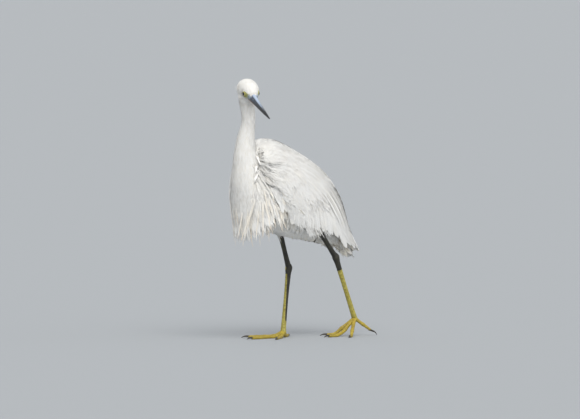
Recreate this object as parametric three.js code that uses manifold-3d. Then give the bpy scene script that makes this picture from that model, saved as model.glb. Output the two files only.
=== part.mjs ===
// A life-size little egret, walking, with its head turned to its left.
// Millimetres, +Z up. The bird walks towards -Y and its left side is +X.
// The body's middle plane is x = 0 and the ground is z = 0 until the last lines centre the group.
import * as THREE from "three";
import { mergeVertices } from "three/addons/utils/BufferGeometryUtils.js";
import Module from "manifold-3d";

const wasm = await Module();
wasm.setup();

// Clearance between two pieces that meet
const GAP = 0.3;
// Thickness of a feather along its shaft
const FEATHER = 1.3;
// Eyes: their size, how far each stands from the head's middle, and how far forward they turn
const EYE = { radius: 4.6, forward: 0.6, side: 9, turn: 0.35 };
const LIDS = { ring: 3.9, thickness: 1.1, stand: 2.9 };
const BILL_LENGTH = 85;
// Lower face of every toe, measured from its middle line
const SOLE = 2.1;

const X_AXIS = new THREE.Vector3(1, 0, 0);
const Z_AXIS = new THREE.Vector3(0, 0, 1);
const FORWARD = new THREE.Vector3(0, -1, 0);

const vec = (x, y, z) => new THREE.Vector3(x, y, z);
const radians = THREE.MathUtils.degToRad;
const mix = THREE.MathUtils.lerp;
const smooth = THREE.MathUtils.smoothstep;

// Plumage, horn and skin materials
const white = new THREE.MeshStandardMaterial({ color: 0xf1efe9, roughness: 0.85 });
const cream = new THREE.MeshStandardMaterial({ color: 0xe9e0cf, roughness: 0.85 });
const billHorn = new THREE.MeshStandardMaterial({ color: 0x2b3038, roughness: 0.4 });
const jawHorn = new THREE.MeshStandardMaterial({ color: 0x4a4548, roughness: 0.45 });
const eyeGlass = new THREE.MeshStandardMaterial({ color: 0xd8cf6a, roughness: 0.1 });
const blackSkin = new THREE.MeshStandardMaterial({ color: 0x1d1c18, roughness: 0.5 });
const yellowSkin = new THREE.MeshStandardMaterial({ color: 0xa79a37, roughness: 0.5 });

// A closed BufferGeometry as a solid, with its shared vertices merged and collapsed faces dropped.
function solidOf(geometry) {
  const bare = geometry.clone();
  bare.deleteAttribute("normal");
  bare.deleteAttribute("uv");
  const merged = mergeVertices(bare, 1e-4);
  const index = merged.index.array;
  const position = merged.attributes.position;
  const corner = [vec(0, 0, 0), vec(0, 0, 0), vec(0, 0, 0)];
  const faces = [];
  let volume = 0;
  for (let i = 0; i < index.length; i += 3) {
    const face = [index[i], index[i + 1], index[i + 2]];
    if (new Set(face).size < 3) continue;
    face.forEach((v, k) => corner[k].fromBufferAttribute(position, v));
    volume += corner[0].dot(corner[1].cross(corner[2]));
    faces.push(face);
  }
  const triVerts = new Uint32Array(faces.map((f) => (volume < 0 ? f.reverse() : f)).flat());
  return new wasm.Manifold(
    new wasm.Mesh({ numProp: 3, vertProperties: position.array, triVerts }),
  );
}

function geometryOf(solid) {
  const made = solid.getMesh();
  const geometry = new THREE.BufferGeometry();
  geometry.setAttribute("position", new THREE.BufferAttribute(made.vertProperties, 3));
  geometry.setIndex(new THREE.BufferAttribute(made.triVerts, 1));
  return geometry;
}

// The largest closed surface of a solid, with slivers under a tenth of a millimetre closed up.
function largest(solid) {
  const pieces = solid.simplify(0.1).decompose();
  return pieces.reduce((best, piece) => (piece.volume() > best.volume() ? piece : best));
}

const join = (solids) => wasm.Manifold.union(solids);

// Numbers at several stations, read at any place between 0 and 1 along one smooth curve.
function ease(...rows) {
  const curve = new THREE.CatmullRomCurve3(rows.map((row) => vec(...row)));
  return (t) => curve.getPoint(THREE.MathUtils.clamp(t, 0, 1));
}

// The frame of a swept body at t: its middle, and unit vectors along, to the side and up.
function frameAt(body, t) {
  const middle = body.path(t);
  const step = 0.002;
  const along = body.path(Math.min(1, t + step)).sub(body.path(Math.max(0, t - step)));
  along.normalize();
  const up = body.up.clone().addScaledVector(along, -body.up.dot(along)).normalize();
  return { middle, along, side: new THREE.Vector3().crossVectors(along, up), up };
}

// A point on a swept body's skin: angle 0 is its side, 90 degrees its top.
function skinPoint(body, t, angle, grow = 0) {
  const { middle, side, up } = frameAt(body, t);
  const size = body.size(t);
  const c = Math.cos(angle);
  const s = Math.sin(angle);
  const squareness = 2 / (body.squareness ?? 2);
  const width = Math.sign(c) * Math.abs(c) ** squareness * (size.x + grow);
  const height = Math.sign(s) * Math.abs(s) ** squareness * ((s > 0 ? size.y : size.z) + grow);
  return middle.addScaledVector(side, width).addScaledVector(up, height);
}

// A closed body swept along a path: the rings of a sphere, moved to the path's cross-sections.
function sweep(body, grow = 0) {
  const { sides = 16, rings = 10 } = body;
  const geometry = new THREE.SphereGeometry(1, sides, rings + 1);
  const { position, uv } = geometry.attributes;
  for (let i = 0; i < position.count; i++) {
    const ring = Math.round((1 - uv.getY(i)) * (rings + 1));
    const turn = Math.round(uv.getX(i) * sides) / sides;
    let point;
    if (ring === 0 || ring > rings) {
      const end = frameAt(body, ring ? 1 : 0);
      point = end.middle.addScaledVector(end.along, (ring ? 1 : -1) * ((body.dome ?? 0) + grow));
    } else {
      point = skinPoint(body, (ring - 1) / (rings - 1), 2 * Math.PI * turn, grow);
    }
    position.setXYZ(i, point.x, point.y, point.z);
  }
  return solidOf(geometry);
}

// A closed leaf: two copies of one plane, welded round their border.
// surface(u, v, lift) gives its points. rise and depth are how far its two faces stand off it.
function leaf(columns, rows, surface, rise, depth = rise) {
  const sheet = new THREE.PlaneGeometry(1, 1, columns, rows);
  const count = sheet.attributes.position.count;
  const points = [];
  for (const face of [rise, (u, v) => -depth(u, v)]) {
    for (let i = 0; i < count; i++) {
      const u = sheet.attributes.uv.getX(i);
      const v = sheet.attributes.uv.getY(i);
      const border = Math.min(u, v, 1 - u, 1 - v) < 1e-6;
      points.push(...surface(u, v, border ? 0 : face(u, v)).toArray());
    }
  }
  const front = [...sheet.index.array];
  const back = front.map((v) => v + count).reverse();
  const geometry = new THREE.BufferGeometry();
  geometry.setAttribute("position", new THREE.BufferAttribute(new Float32Array(points), 3));
  geometry.setIndex([...front, ...back]);
  return solidOf(geometry);
}

// How wide a vane is along its length, as a share of its full width: 1 in the middle.
const roundedVane = (v) => Math.min(1, 0.45 + 2 * v) * Math.sqrt(Math.max(0, 1 - v ** 5));
const lanceolate = (v) => Math.min(1, 0.5 + 1.6 * v) * (1 - v ** 1.6);

// A feather or lock whose shaft follows shaft(v) and whose vane lies square to normal(v).
// Under its shaft a keel of the given depth ties it to the layer below.
function vane(
  { shaft, normal, width, outline = roundedVane, rows = 5, tilt = 0, camber = 0.12, keel = 0 },
  grow = 0,
) {
  const surface = (u, row, lift) => {
    const v = 1 - (1 - row) ** 1.6;
    const middle = shaft(v);
    const along = shaft(Math.min(1, v + 0.02)).sub(shaft(Math.max(0, v - 0.02))).normalize();
    const up = normal(v);
    const side = new THREE.Vector3().crossVectors(along, up).normalize();
    const across = (u - 0.5) * (width + 2 * grow) * outline(v);
    const drop = camber * Math.abs(across) + tilt * (u - 0.5) * outline(v);
    return middle.addScaledVector(side, across).addScaledVector(up, lift - drop);
  };
  const half = FEATHER / 2 + grow;
  return leaf(2, rows, surface, () => half, (_, v) => half + keel * (1 - v ** 3));
}

// Torso: the breast at 0, the root of the tail at 1. Sizes are half width, up and down.
const torso = {
  up: Z_AXIS,
  squareness: 2.2,
  sides: 16,
  rings: 11,
  dome: 4,
  path: ease(
    [0, -124, 236],
    [0, -106, 240],
    [0, -78, 238],
    [0, -38, 224],
    [0, 4, 202],
    [0, 44, 176],
    [0, 78, 152],
  ),
  size: ease(
    [12, 16, 18],
    [28, 42, 38],
    [39, 56, 59],
    [40, 56, 63],
    [36, 48, 54],
    [25, 32, 34],
    [11, 12, 12],
  ),
};

// Neck: from inside the breast to inside the head, nearly upright.
const neck = {
  up: FORWARD,
  sides: 16,
  rings: 15,
  path: ease(
    [0, -92, 205],
    [0, -104, 232],
    [0, -112, 256],
    [0, -118, 280],
    [0, -118, 310],
    [1.5, -114, 338],
    [1, -115, 358],
    [2, -120, 379],
  ),
  size: ease(
    [40, 41, 36],
    [36, 32, 34],
    [27, 27, 30],
    [19, 19.5, 19],
    [14, 14.3, 13.5],
    [10.6, 10.8, 10.8],
    [11.2, 11.4, 11.4],
    [14, 14, 14],
  ),
};
const NECK_SPLIT = 288;

// Head: its own frame, with the middle between the eyes as its origin.
const HEAD = { middle: vec(17, -124, 383), turn: 63, droop: 18.5 };
const headForward = FORWARD.clone()
  .applyAxisAngle(Z_AXIS, radians(HEAD.turn))
  .multiplyScalar(Math.cos(radians(HEAD.droop)))
  .addScaledVector(Z_AXIS, -Math.sin(radians(HEAD.droop)));
const headLeft = new THREE.Vector3().crossVectors(Z_AXIS, headForward).normalize();
const headUp = new THREE.Vector3().crossVectors(headForward, headLeft);
const headPoint = (forward, left, up) =>
  HEAD.middle
    .clone()
    .addScaledVector(headForward, forward)
    .addScaledVector(headLeft, left)
    .addScaledVector(headUp, up);
// Stations in the head's own frame, as forward, left and up.
const headPath = (...rows) => {
  const local = ease(...rows);
  return (t) => headPoint(...local(t).toArray());
};

const head = {
  up: headUp,
  sides: 18,
  rings: 11,
  dome: 1.5,
  path: headPath([-38, 0, -2], [-31, 0, -1], [-19, 0, 0.5], [-4, 0, 2], [8, 0, 0], [17, 0, -2.5]),
  size: ease(
    [6, 7.6, 7],
    [13, 12.4, 13],
    [16.6, 15.6, 18],
    [14.6, 13.8, 17],
    [9.8, 9.6, 12],
    [5.6, 6, 6.5],
  ),
};

// Upper and lower bill: the line of the mouth lies between them.
// The bill's root is sunk in the head, whose feathers end this far forward.
const BILL_ROOT = 6;
const FEATHERED_FACE = 15.6;
const BILL_TIP = FEATHERED_FACE + BILL_LENGTH;
const upperBill = {
  up: headUp,
  sides: 12,
  rings: 9,
  dome: 0.6,
  squareness: 1.8,
  path: headPath(
    [BILL_ROOT, 0, -4],
    [24, 0, -3.7],
    [45, 0, -3.6],
    [72, 0, -3.4],
    [BILL_TIP, 0, -3.3],
  ),
  size: ease([7, 9.2, 0.6], [5.4, 7, 0.6], [4, 4.9, 0.6], [2.7, 2.8, 0.6], [0.7, 0.5, 0.5]),
};
const lowerBill = {
  ...upperBill,
  path: headPath(
    [BILL_ROOT, 0, -5.4],
    [24, 0, -5.1],
    [45, 0, -4.9],
    [72, 0, -4.7],
    [BILL_TIP - 2, 0, -4.4],
  ),
  size: ease([6.8, 0.4, 5.6], [5, 0.4, 4.6], [3.6, 0.4, 3.5], [2.4, 0.4, 2.2], [0.6, 0.3, 0.4]),
};
const NOSTRIL = { forward: 26, side: 4.6, up: -0.4, length: 5, height: 1.1, depth: 2 };

function ball(centre, radius, facets = 12) {
  const sphere = new THREE.SphereGeometry(radius, facets, facets - 4);
  return solidOf(sphere.translate(centre.x, centre.y, centre.z));
}
const eyeMiddle = (side) => headPoint(EYE.forward, side * EYE.side, 0);

// A ring of lid round each eye, square to the way that the eye looks.
function lids(side) {
  const look = headLeft.clone().multiplyScalar(side).addScaledVector(headForward, EYE.turn);
  look.normalize();
  const turn = new THREE.Quaternion().setFromUnitVectors(Z_AXIS, look);
  const ring = new THREE.TorusGeometry(LIDS.ring, LIDS.thickness, 5, 14).applyQuaternion(turn);
  const centre = eyeMiddle(side).addScaledVector(look, LIDS.stand);
  return solidOf(ring.translate(centre.x, centre.y, centre.z));
}

// The loose feathers of the nape, a few short points that stand off the back of the head.
function napeTuft() {
  return [-1, 0, 1].map((k) =>
    vane({
      shaft: (v) => headPoint(-26 - 17 * v, 2.5 * k * (1 + v), 6 - 3 * v - 4 * v * v),
      normal: () => headUp.clone(),
      width: 5,
      outline: lanceolate,
      rows: 4,
    }),
  );
}

// The folded wings' envelope: shoulder at 0, tip at 1. Sizes are half width, up and down.
const folded = {
  up: Z_AXIS,
  squareness: 2.3,
  path: ease(
    [0, -112, 248],
    [0, -88, 246],
    [0, -48, 232],
    [0, -4, 208],
    [0, 38, 181],
    [0, 78, 152],
    [0, 116, 124],
  ),
  size: ease(
    [34, 47, 85],
    [43, 65.5, 85],
    [47, 64.5, 85],
    [45, 65, 85],
    [37, 53.5, 80],
    [24, 26.5, 70],
    [12, 11, 50],
  ),
};

// A point of the left wing: along 0 to 1 from shoulder to tip, angle in degrees down from the back.
function wingPoint(along, down, lift = 0) {
  return skinPoint(folded, along, radians(90 - down), lift);
}

// How far down the side the wing's lower edge lies, in degrees from the back, from shoulder to tip.
const edgeCurve = ease(...[96, 100, 116, 120, 104, 96, 90].map((down) => [down, 0, 0]));
const wingEdge = (along) => edgeCurve(along).x;

// A feather of the left wing from one (along, down) place to another.
// Its root is sunk in the wing, its tip stands off it, and its lower border lies on its neighbour.
function wingFeather({ from, to, width, rows, low = -3.4, high = 1.6, tilt = 2.4, keel = 2.2 }) {
  const place = (v, extra) => wingPoint(mix(from[0], to[0], v), mix(from[1], to[1], v), extra);
  return vane({
    shaft: (v) => place(v, mix(low, high, v)),
    normal: (v) => place(v, 4).sub(place(v, 0)).normalize(),
    width,
    rows,
    tilt,
    keel,
  });
}

// Tiers of the folded wing, inner layer first. Each runs from its lowest feather to its highest.
// Roots and tips are (along, down) places of the first and the last feather.
const WING_TIERS = [
  {
    name: "primaries",
    count: 5,
    roots: [[0.56, 80], [0.62, 48]],
    tips: [[0.88, 96], [1.02, 50]],
    widths: [13, 12],
  },
  {
    name: "secondaries",
    count: 10,
    roots: [[0.26, 96], [0.5, 58]],
    tips: [[0.38, 124], [0.93, 84]],
    widths: [17, 15],
  },
  {
    name: "tertials",
    count: 5,
    roots: [[0.27, 44], [0.34, 14]],
    tips: [[0.8, 84], [0.96, 26]],
    widths: [20, 17],
  },
  {
    name: "greater coverts",
    count: 9,
    roots: [[0.14, 92], [0.31, 54]],
    tips: [[0.27, 116], [0.6, 76]],
    widths: [16, 16],
    rows: 4,
  },
  {
    name: "scapulars",
    count: 4,
    roots: [[0.1, 50], [0.16, 16]],
    tips: [[0.44, 62], [0.54, 20]],
    widths: [19, 17],
    rows: 4,
  },
  {
    name: "median coverts",
    count: 8,
    roots: [[0.04, 86], [0.2, 42]],
    tips: [[0.17, 106], [0.44, 62]],
    widths: [16, 16],
    rows: 3,
  },
  {
    name: "lesser coverts",
    count: 7,
    roots: [[-0.02, 84], [0.06, 20]],
    tips: [[0.1, 98], [0.3, 30]],
    widths: [17, 17],
    rows: 3,
  },
];

function tier({ count, roots, tips, widths, rows = 5 }) {
  return Array.from({ length: count }, (_, i) => {
    const k = i / (count - 1);
    const between = (pair) => [mix(pair[0][0], pair[1][0], k), mix(pair[0][1], pair[1][1], k)];
    return wingFeather({ from: between(roots), to: between(tips), width: mix(...widths, k), rows });
  });
}

// The wing under its feathers: a curved plate, thick at the shoulder and thin at the rear.
// Its borders stay inside the feathers: it ends short of the wing's tip, its edge and the back.
const PLATE = { end: 0.86, back: 5, edge: 7, sunk: 3, above: 1.5, shoulder: 6, rear: 2 };
function wingPlate() {
  const surface = (u, v, lift) => {
    const down = mix(PLATE.back, wingEdge(v) - PLATE.edge, u);
    return wingPoint(mix(0, PLATE.end, v), down, lift - PLATE.sunk);
  };
  const below = (_, v) => mix(PLATE.shoulder, PLATE.rear, v);
  return leaf(8, 10, surface, () => PLATE.above, below);
}

function leftWing() {
  return join([wingPlate(), ...WING_TIERS.flatMap(tier)]);
}

// Back: a ridge between the wings, with one row of broad feathers down it.
const BACK = { halfWidth: 9, rearHalfWidth: 5, feathers: 8, start: 0.02, step: 0.1, length: 0.2 };
const RIDGE = { sunk: 14, up: 11, down: 14 };
const ridge = {
  up: Z_AXIS,
  squareness: 3,
  sides: 8,
  rings: 9,
  path: (t) => skinPoint(folded, mix(0, PLATE.end, t), Math.PI / 2, -RIDGE.sunk),
  size: (t) => vec(mix(BACK.halfWidth, BACK.rearHalfWidth, t), RIDGE.up, RIDGE.down),
};
function backFeather(i, grow) {
  const from = BACK.start + BACK.step * i;
  const place = (v, lift) => wingPoint(from + BACK.length * v, 0, lift);
  const feather = {
    shaft: (v) => place(v, mix(-4.5, 0.5, v)),
    normal: (v) => place(v, 4).sub(place(v, 0)).normalize(),
    width: 1.6 * mix(BACK.halfWidth, BACK.rearHalfWidth, i / BACK.feathers),
    rows: 3,
    keel: 2.2,
    camber: 0.2,
  };
  return vane(feather, grow);
}
function backRow(grow) {
  return join(Array.from({ length: BACK.feathers }, (_, i) => backFeather(i, grow)));
}

// Tail: twelve feathers in a shallow fan, under the wing tips. The fan arches, and its sides sag.
const TAIL = {
  root: vec(0, 52, 173),
  tip: vec(0, 114, 123),
  rootSpread: 5,
  spread: 13,
  width: 12,
  count: 12,
  arch: 4,
  sag: 3,
};
const tailBack = TAIL.tip.clone().sub(TAIL.root).normalize();
const tailUp = new THREE.Vector3().crossVectors(X_AXIS, tailBack);
function tailFeather(i) {
  const k = (2 * i) / (TAIL.count - 1) - 1;
  const across = (v) => k * mix(TAIL.rootSpread, TAIL.spread, v);
  const rise = (v) => TAIL.arch * v * (1 - v) - TAIL.sag * Math.abs(k);
  return vane({
    shaft: (v) =>
      TAIL.root
        .clone()
        .lerp(TAIL.tip, v)
        .addScaledVector(X_AXIS, across(v))
        .addScaledVector(tailUp, rise(v)),
    normal: () => tailUp.clone().addScaledVector(X_AXIS, 0.3 * k).normalize(),
    width: TAIL.width * mix(1, 0.8, Math.abs(k)),
    tilt: 1.2 * Math.sign(k),
  });
}
const tailRoot = {
  up: Z_AXIS,
  sides: 12,
  rings: 5,
  dome: 1,
  path: ease([0, 50, 172], [0, 66, 160], [0, 86, 143]),
  size: ease([12, 8, 7], [11, 5, 5], [9, 2, 2]),
};

// Breast plumes: soft drooping locks in rows round the foot of the neck, the lowest row first.
// The angles are from the front, and drop is how far down a lock hangs.
// One stray lock hangs longer, and its end leans away from the rest.
const PLUME_ROWS = [
  { count: 9, along: 0.02, spread: 92, drop: 42, width: 14 },
  { count: 10, along: 0.09, spread: 92, drop: 60, width: 12 },
  { count: 9, along: 0.17, spread: 80, drop: 78, width: 11, stray: 2 },
];
let seed = 7;
function random() {
  seed = (seed * 16807) % 2147483647;
  return seed / 2147483647;
}
const STRAY = { lean: 15, longer: 1.16 };
function plumeRow({ count, along, spread, drop, width, stray }) {
  return Array.from({ length: count }, (_, i) => {
    const k = (2 * i) / (count - 1) - 1;
    const angle = radians(90 - spread * k);
    const root = skinPoint(neck, along, angle, -2.5);
    const away = skinPoint(neck, along, angle, 1).sub(root).setZ(0).normalize();
    const round = new THREE.Vector3().crossVectors(Z_AXIS, away);
    const strays = i === stray;
    const length = drop * (0.86 + 0.28 * random()) * (strays ? STRAY.longer : 1);
    const belly = 5 + 3 * random();
    const drift = 14 * (random() - 0.5);
    const curl = 5 * (random() - 0.5);
    const lean = strays ? STRAY.lean : 0;
    const stand = (v) => belly * Math.sin(Math.PI * Math.min(1, 0.9 * v)) + lean * v ** 5;
    return {
      shaft: (v) =>
        root
          .clone()
          .addScaledVector(away, stand(v))
          .addScaledVector(round, drift * v * v + curl * Math.sin(Math.PI * 1.5 * v))
          .addScaledVector(Z_AXIS, -length * v),
      normal: () => away.clone(),
      width: width * (0.8 + 0.4 * random()),
      outline: lanceolate,
      rows: 5,
      tilt: 1.6,
    };
  });
}
const plumes = PLUME_ROWS.flatMap(plumeRow);

// Legs, listed for each side: where the knee feathers end, the heel and the ball of the foot.
const LEGS = {
  left: {
    side: 1,
    thigh: [vec(23, -16, 206), vec(24, 6, 184), vec(24, 19, 165)],
    heel: vec(24, 54, 124),
    ball: vec(24, 96, 27),
  },
  right: {
    side: -1,
    thigh: [vec(-23, -34, 206), vec(-22, -26, 184), vec(-22, -21, 162)],
    heel: vec(-22, -3, 108),
    ball: vec(-21, -16, 9),
  },
};

function legBodies({ thigh, heel, ball }) {
  const exit = thigh[2];
  const shankWay = heel.clone().sub(exit);
  const tarsusWay = ball.clone().sub(heel);
  const on = (start, way, t) => start.clone().addScaledVector(way, t).toArray();
  return {
    thigh: {
      up: FORWARD,
      sides: 12,
      rings: 6,
      dome: 1,
      path: ease(...thigh.map((p) => p.toArray())),
      size: ease([15, 20, 20], [11, 14, 13], [5.5, 6.5, 6.5]),
    },
    shank: {
      up: FORWARD,
      sides: 10,
      rings: 6,
      path: ease(on(exit, shankWay, -0.1), on(exit, shankWay, 0.5), on(exit, shankWay, 1)),
      size: ease([4, 4.4, 4.4], [3.4, 3.8, 3.8], [4.2, 4.6, 4.8]),
    },
    tarsus: {
      up: FORWARD,
      sides: 10,
      rings: 13,
      dome: 1.2,
      path: ease(
        on(heel, tarsusWay, -0.06),
        on(heel, tarsusWay, 0),
        on(heel, tarsusWay, 0.1),
        on(heel, tarsusWay, 0.5),
        on(heel, tarsusWay, 0.9),
        on(heel, tarsusWay, 1),
      ),
      size: ease(
        [3.4, 3, 3.4],
        [5.4, 5.4, 6.4],
        [4.1, 4.2, 4.8],
        [3.3, 3.7, 3.7],
        [3.9, 4, 4],
        [4.6, 4.2, 4.2],
      ),
    },
  };
}

// Toes: the turn from the way forward, the length, and where along it each foot's toe lands.
const TOES = [
  { turn: -34, length: 52, lands: { left: 0.8, right: 0.3 } },
  { turn: 2, length: 67, lands: { left: 0.62, right: 0.25 } },
  { turn: 36, length: 56, lands: { left: 0.75, right: 0.3 } },
  { turn: 150, length: 31, lands: { left: 1.37, right: 0.4 } },
];
const TOE_GIRTH = 2.7;
const CLAW_LENGTH = 11;

function toe(name, { side, ball }, { turn, length, lands }) {
  const way = FORWARD.clone().applyAxisAngle(Z_AXIS, radians(side * turn));
  const slope = lands[name];
  const fall = ball.z - SOLE;
  const run = Math.sqrt((slope * length) ** 2 - fall ** 2) / slope;
  const reach = (s) => (s < slope ? s * run : slope * run + (s - slope) * length);
  const height = (s) => mix(ball.z, SOLE, Math.min(1, s / slope));
  const at = (distance, z) =>
    vec(ball.x, ball.y, 0).addScaledVector(way, distance).setZ(z).toArray();
  const on = (s) => at(reach(s), height(s));
  const end = reach(1);
  const round = (r) => [r, r, r];
  const digit = {
    up: Z_AXIS,
    sides: 8,
    rings: 6,
    dome: 0.5,
    path: ease(on(0), on(0.25), on(0.5), on(0.75), on(1)),
    size: ease(...[1.3, 1, 1, 0.86, 0.74].map((share) => round(TOE_GIRTH * share))),
  };
  const claw = {
    up: Z_AXIS,
    sides: 5,
    rings: 4,
    path: ease(
      at(end - 2, height(1) + 0.2),
      at(end + CLAW_LENGTH / 2, 0.6 * height(1) + 1.2),
      at(end + CLAW_LENGTH, 0.5),
    ),
    size: ease(round(1.6), round(1.1), round(0.35)),
  };
  return [sweep(digit), sweep(claw)];
}

const groundBlock = solidOf(new THREE.BoxGeometry(600, 600, 40).translate(0, 0, -20));
const KNUCKLE = { radius: 5.2, below: 1.5 };
function foot(name, leg) {
  const middle = leg.ball.clone().addScaledVector(Z_AXIS, -KNUCKLE.below);
  const knuckle = ball(middle, KNUCKLE.radius, 8);
  return join([knuckle, ...TOES.flatMap((each) => toe(name, leg, each))]).subtract(groundBlock);
}

const mirror = (solid) => solid.mirror([1, 0, 0]);
// Everything more than half a gap to the bird's left of the middle plane
const leftHalf = solidOf(new THREE.BoxGeometry(300, 900, 900).translate(150 + GAP, 0, 0));

const egret = new THREE.Group();
function add(name, solid, material) {
  const piece = new THREE.Mesh(geometryOf(largest(solid)), material);
  piece.name = name;
  egret.add(piece);
}

// Head, eyes and bill
const eyes = { left: eyeMiddle(1), right: eyeMiddle(-1) };
const headSolid = join([sweep(head), lids(1), lids(-1), ...napeTuft()])
  .subtract(ball(eyes.left, EYE.radius + GAP))
  .subtract(ball(eyes.right, EYE.radius + GAP));
const headGrown = join([sweep(head, GAP), headSolid]);
add("head", headSolid, white);
add("eye_left", ball(eyes.left, EYE.radius), eyeGlass);
add("eye_right", ball(eyes.right, EYE.radius), eyeGlass);

function nostril(side) {
  return ball(vec(0, 0, 0), 1, 10)
    .scale([NOSTRIL.length / 2, NOSTRIL.depth, NOSTRIL.height / 2])
    .rotate([0, HEAD.droop, HEAD.turn - 90])
    .translate(headPoint(NOSTRIL.forward, side * NOSTRIL.side, NOSTRIL.up).toArray());
}
const nostrils = join([nostril(1), nostril(-1)]);
add("bill_upper", sweep(upperBill).subtract(headGrown).subtract(nostrils), billHorn);
add("bill_lower", sweep(lowerBill).subtract(headGrown), jawHorn);

// Torso, neck and breast plumes
const neckGrown = sweep(neck, GAP);
const torsoGrown = sweep(torso, GAP);
add("torso", join([sweep(torso), sweep(ridge), backRow(0)]).subtract(neckGrown), white);
const neckWhole = sweep(neck).subtract(headGrown);
add("neck_upper", neckWhole.trimByPlane([0, 0, 1], NECK_SPLIT + GAP), white);
const breast = neckWhole.trimByPlane([0, 0, -1], -NECK_SPLIT);
const curtain = join(plumes.map((plume) => vane(plume)));
add("neck_lower", breast.add(curtain.subtract(torsoGrown)), cream);

// Legs
const legsGrown = [];
for (const [name, leg] of Object.entries(LEGS)) {
  const bodies = legBodies(leg);
  add(`thigh_${name}`, sweep(bodies.thigh).subtract(torsoGrown), white);
  const shank = sweep(bodies.shank).subtract(sweep(bodies.thigh, GAP)).subtract(torsoGrown);
  add(`shank_${name}`, shank.subtract(sweep(bodies.tarsus, GAP)), blackSkin);
  add(`tarsus_${name}`, sweep(bodies.tarsus), yellowSkin);
  add(`foot_${name}`, foot(name, leg).subtract(sweep(bodies.tarsus, GAP)), yellowSkin);
  legsGrown.push(sweep(bodies.thigh, GAP));
}

// Wings and tail
const plumesGrown = plumes.map((plume) => vane(plume, GAP));
const body = join([
  torsoGrown,
  neckGrown,
  sweep(ridge, GAP),
  backRow(GAP),
  ...plumesGrown,
  ...legsGrown,
]);
const wing = leftWing().intersect(leftHalf).subtract(body);
const rightWing = mirror(leftWing().intersect(leftHalf)).subtract(body);
add("wing_left", wing, white);
add("wing_right", rightWing, white);
const tailFan = Array.from({ length: TAIL.count }, (_, i) => tailFeather(i));
const tail = join([sweep(tailRoot), ...tailFan]).subtract(body);
add("tail", tail.subtract(wing).subtract(rightWing), cream);

// The origin is the middle of the bounding box's lower face.
const box = new THREE.Box3().setFromObject(egret);
const middle = box.getCenter(vec(0, 0, 0));
egret.position.set(-middle.x, -middle.y, -box.min.z);

export default egret;
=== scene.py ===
import math

import bpy
import numpy as np
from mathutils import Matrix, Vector
from mathutils.bvhtree import BVHTree
from mathutils.kdtree import KDTree


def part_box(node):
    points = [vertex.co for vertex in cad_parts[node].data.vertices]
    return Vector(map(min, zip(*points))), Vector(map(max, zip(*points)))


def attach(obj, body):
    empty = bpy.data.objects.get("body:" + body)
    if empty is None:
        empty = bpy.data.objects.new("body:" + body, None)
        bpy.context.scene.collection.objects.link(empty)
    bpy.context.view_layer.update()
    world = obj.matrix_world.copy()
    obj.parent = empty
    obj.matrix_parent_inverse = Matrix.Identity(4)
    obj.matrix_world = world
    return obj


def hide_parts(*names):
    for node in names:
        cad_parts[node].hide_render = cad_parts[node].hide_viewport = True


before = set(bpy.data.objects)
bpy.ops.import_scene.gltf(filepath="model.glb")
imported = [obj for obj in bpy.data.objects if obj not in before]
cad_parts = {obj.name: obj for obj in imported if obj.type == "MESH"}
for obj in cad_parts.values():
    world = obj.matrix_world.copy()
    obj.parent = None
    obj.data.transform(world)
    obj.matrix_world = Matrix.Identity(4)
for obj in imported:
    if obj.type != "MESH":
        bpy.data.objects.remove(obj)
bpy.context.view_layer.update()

MILLIMETRE = 0.001
BODY = "root"
THIN = 1.0

# ---------------------------------------------------------------- curves and swept bodies


def unit(vectors):
    vectors = np.asarray(vectors, float)
    size = np.linalg.norm(vectors, axis=-1, keepdims=True)
    return vectors / np.maximum(size, 1e-9)


def dot(a, b):
    return np.sum(a * b, axis=-1, keepdims=True)


def mix(a, b, share):
    return a + (b - a) * share


def smooth_step(low, high, value):
    share = np.clip((value - low) / (high - low), 0, 1)
    return share * share * (3 - 2 * share)


def ease(*rows):
    """Numbers at several stations, read at any place between 0 and 1 along one smooth curve."""
    stations = np.array(rows, float)
    last = len(stations) - 1
    before = 2 * stations[0] - stations[1]
    after = 2 * stations[-1] - stations[-2]
    knots = np.vstack([before, stations, after])
    gaps = np.sum(np.diff(knots, axis=0) ** 2, axis=1) ** 0.25

    def read(place):
        x = np.clip(np.atleast_1d(np.asarray(place, float)), 0, 1) * last
        i = np.minimum(x.astype(int), last - 1)
        w = (x - i)[:, None]
        p0, p1, p2, p3 = (knots[i + k] for k in range(4))
        d0, d1, d2 = (gaps[i + k][:, None] for k in range(3))
        d1 = np.where(d1 < 1e-4, 1, d1)
        d0 = np.where(d0 < 1e-4, d1, d0)
        d2 = np.where(d2 < 1e-4, d1, d2)
        leave = ((p1 - p0) / d0 - (p2 - p0) / (d0 + d1) + (p2 - p1) / d1) * d1
        arrive = ((p2 - p1) / d1 - (p3 - p1) / (d1 + d2) + (p3 - p2) / d2) * d1
        square = -3 * p1 + 3 * p2 - 2 * leave - arrive
        cube = 2 * p1 - 2 * p2 + leave + arrive
        return p1 + w * leave + w * w * square + w**3 * cube

    return read


def frame_at(body, t):
    """Middle, way along, way to the side and way up of a swept body at t."""
    t = np.atleast_1d(np.asarray(t, float))
    step = 0.002
    ahead = body["path"](np.minimum(1, t + step))
    behind = body["path"](np.maximum(0, t - step))
    along = unit(ahead - behind)
    up = np.array(body["up"], float)
    up = unit(up - along * dot(along, up))
    return body["path"](t), along, np.cross(along, up), up


def skin_point(body, t, angle, grow=0.0):
    """A point on a swept body: angle 0 is its side, a quarter turn its top."""
    middle, _, side, up = frame_at(body, t)
    size = body["size"](t)
    c, s = np.cos(angle), np.sin(angle)
    power = 2 / body.get("squareness", 2)
    width = np.sign(c) * np.abs(c) ** power * (size[:, 0] + grow)
    reach = np.where(s > 0, size[:, 1], size[:, 2]) + grow
    height = np.sign(s) * np.abs(s) ** power * reach
    return middle + side * width[:, None] + up * height[:, None]


UP = np.array([0.0, 0, 1])
FORWARD = np.array([0.0, -1, 0])

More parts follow.
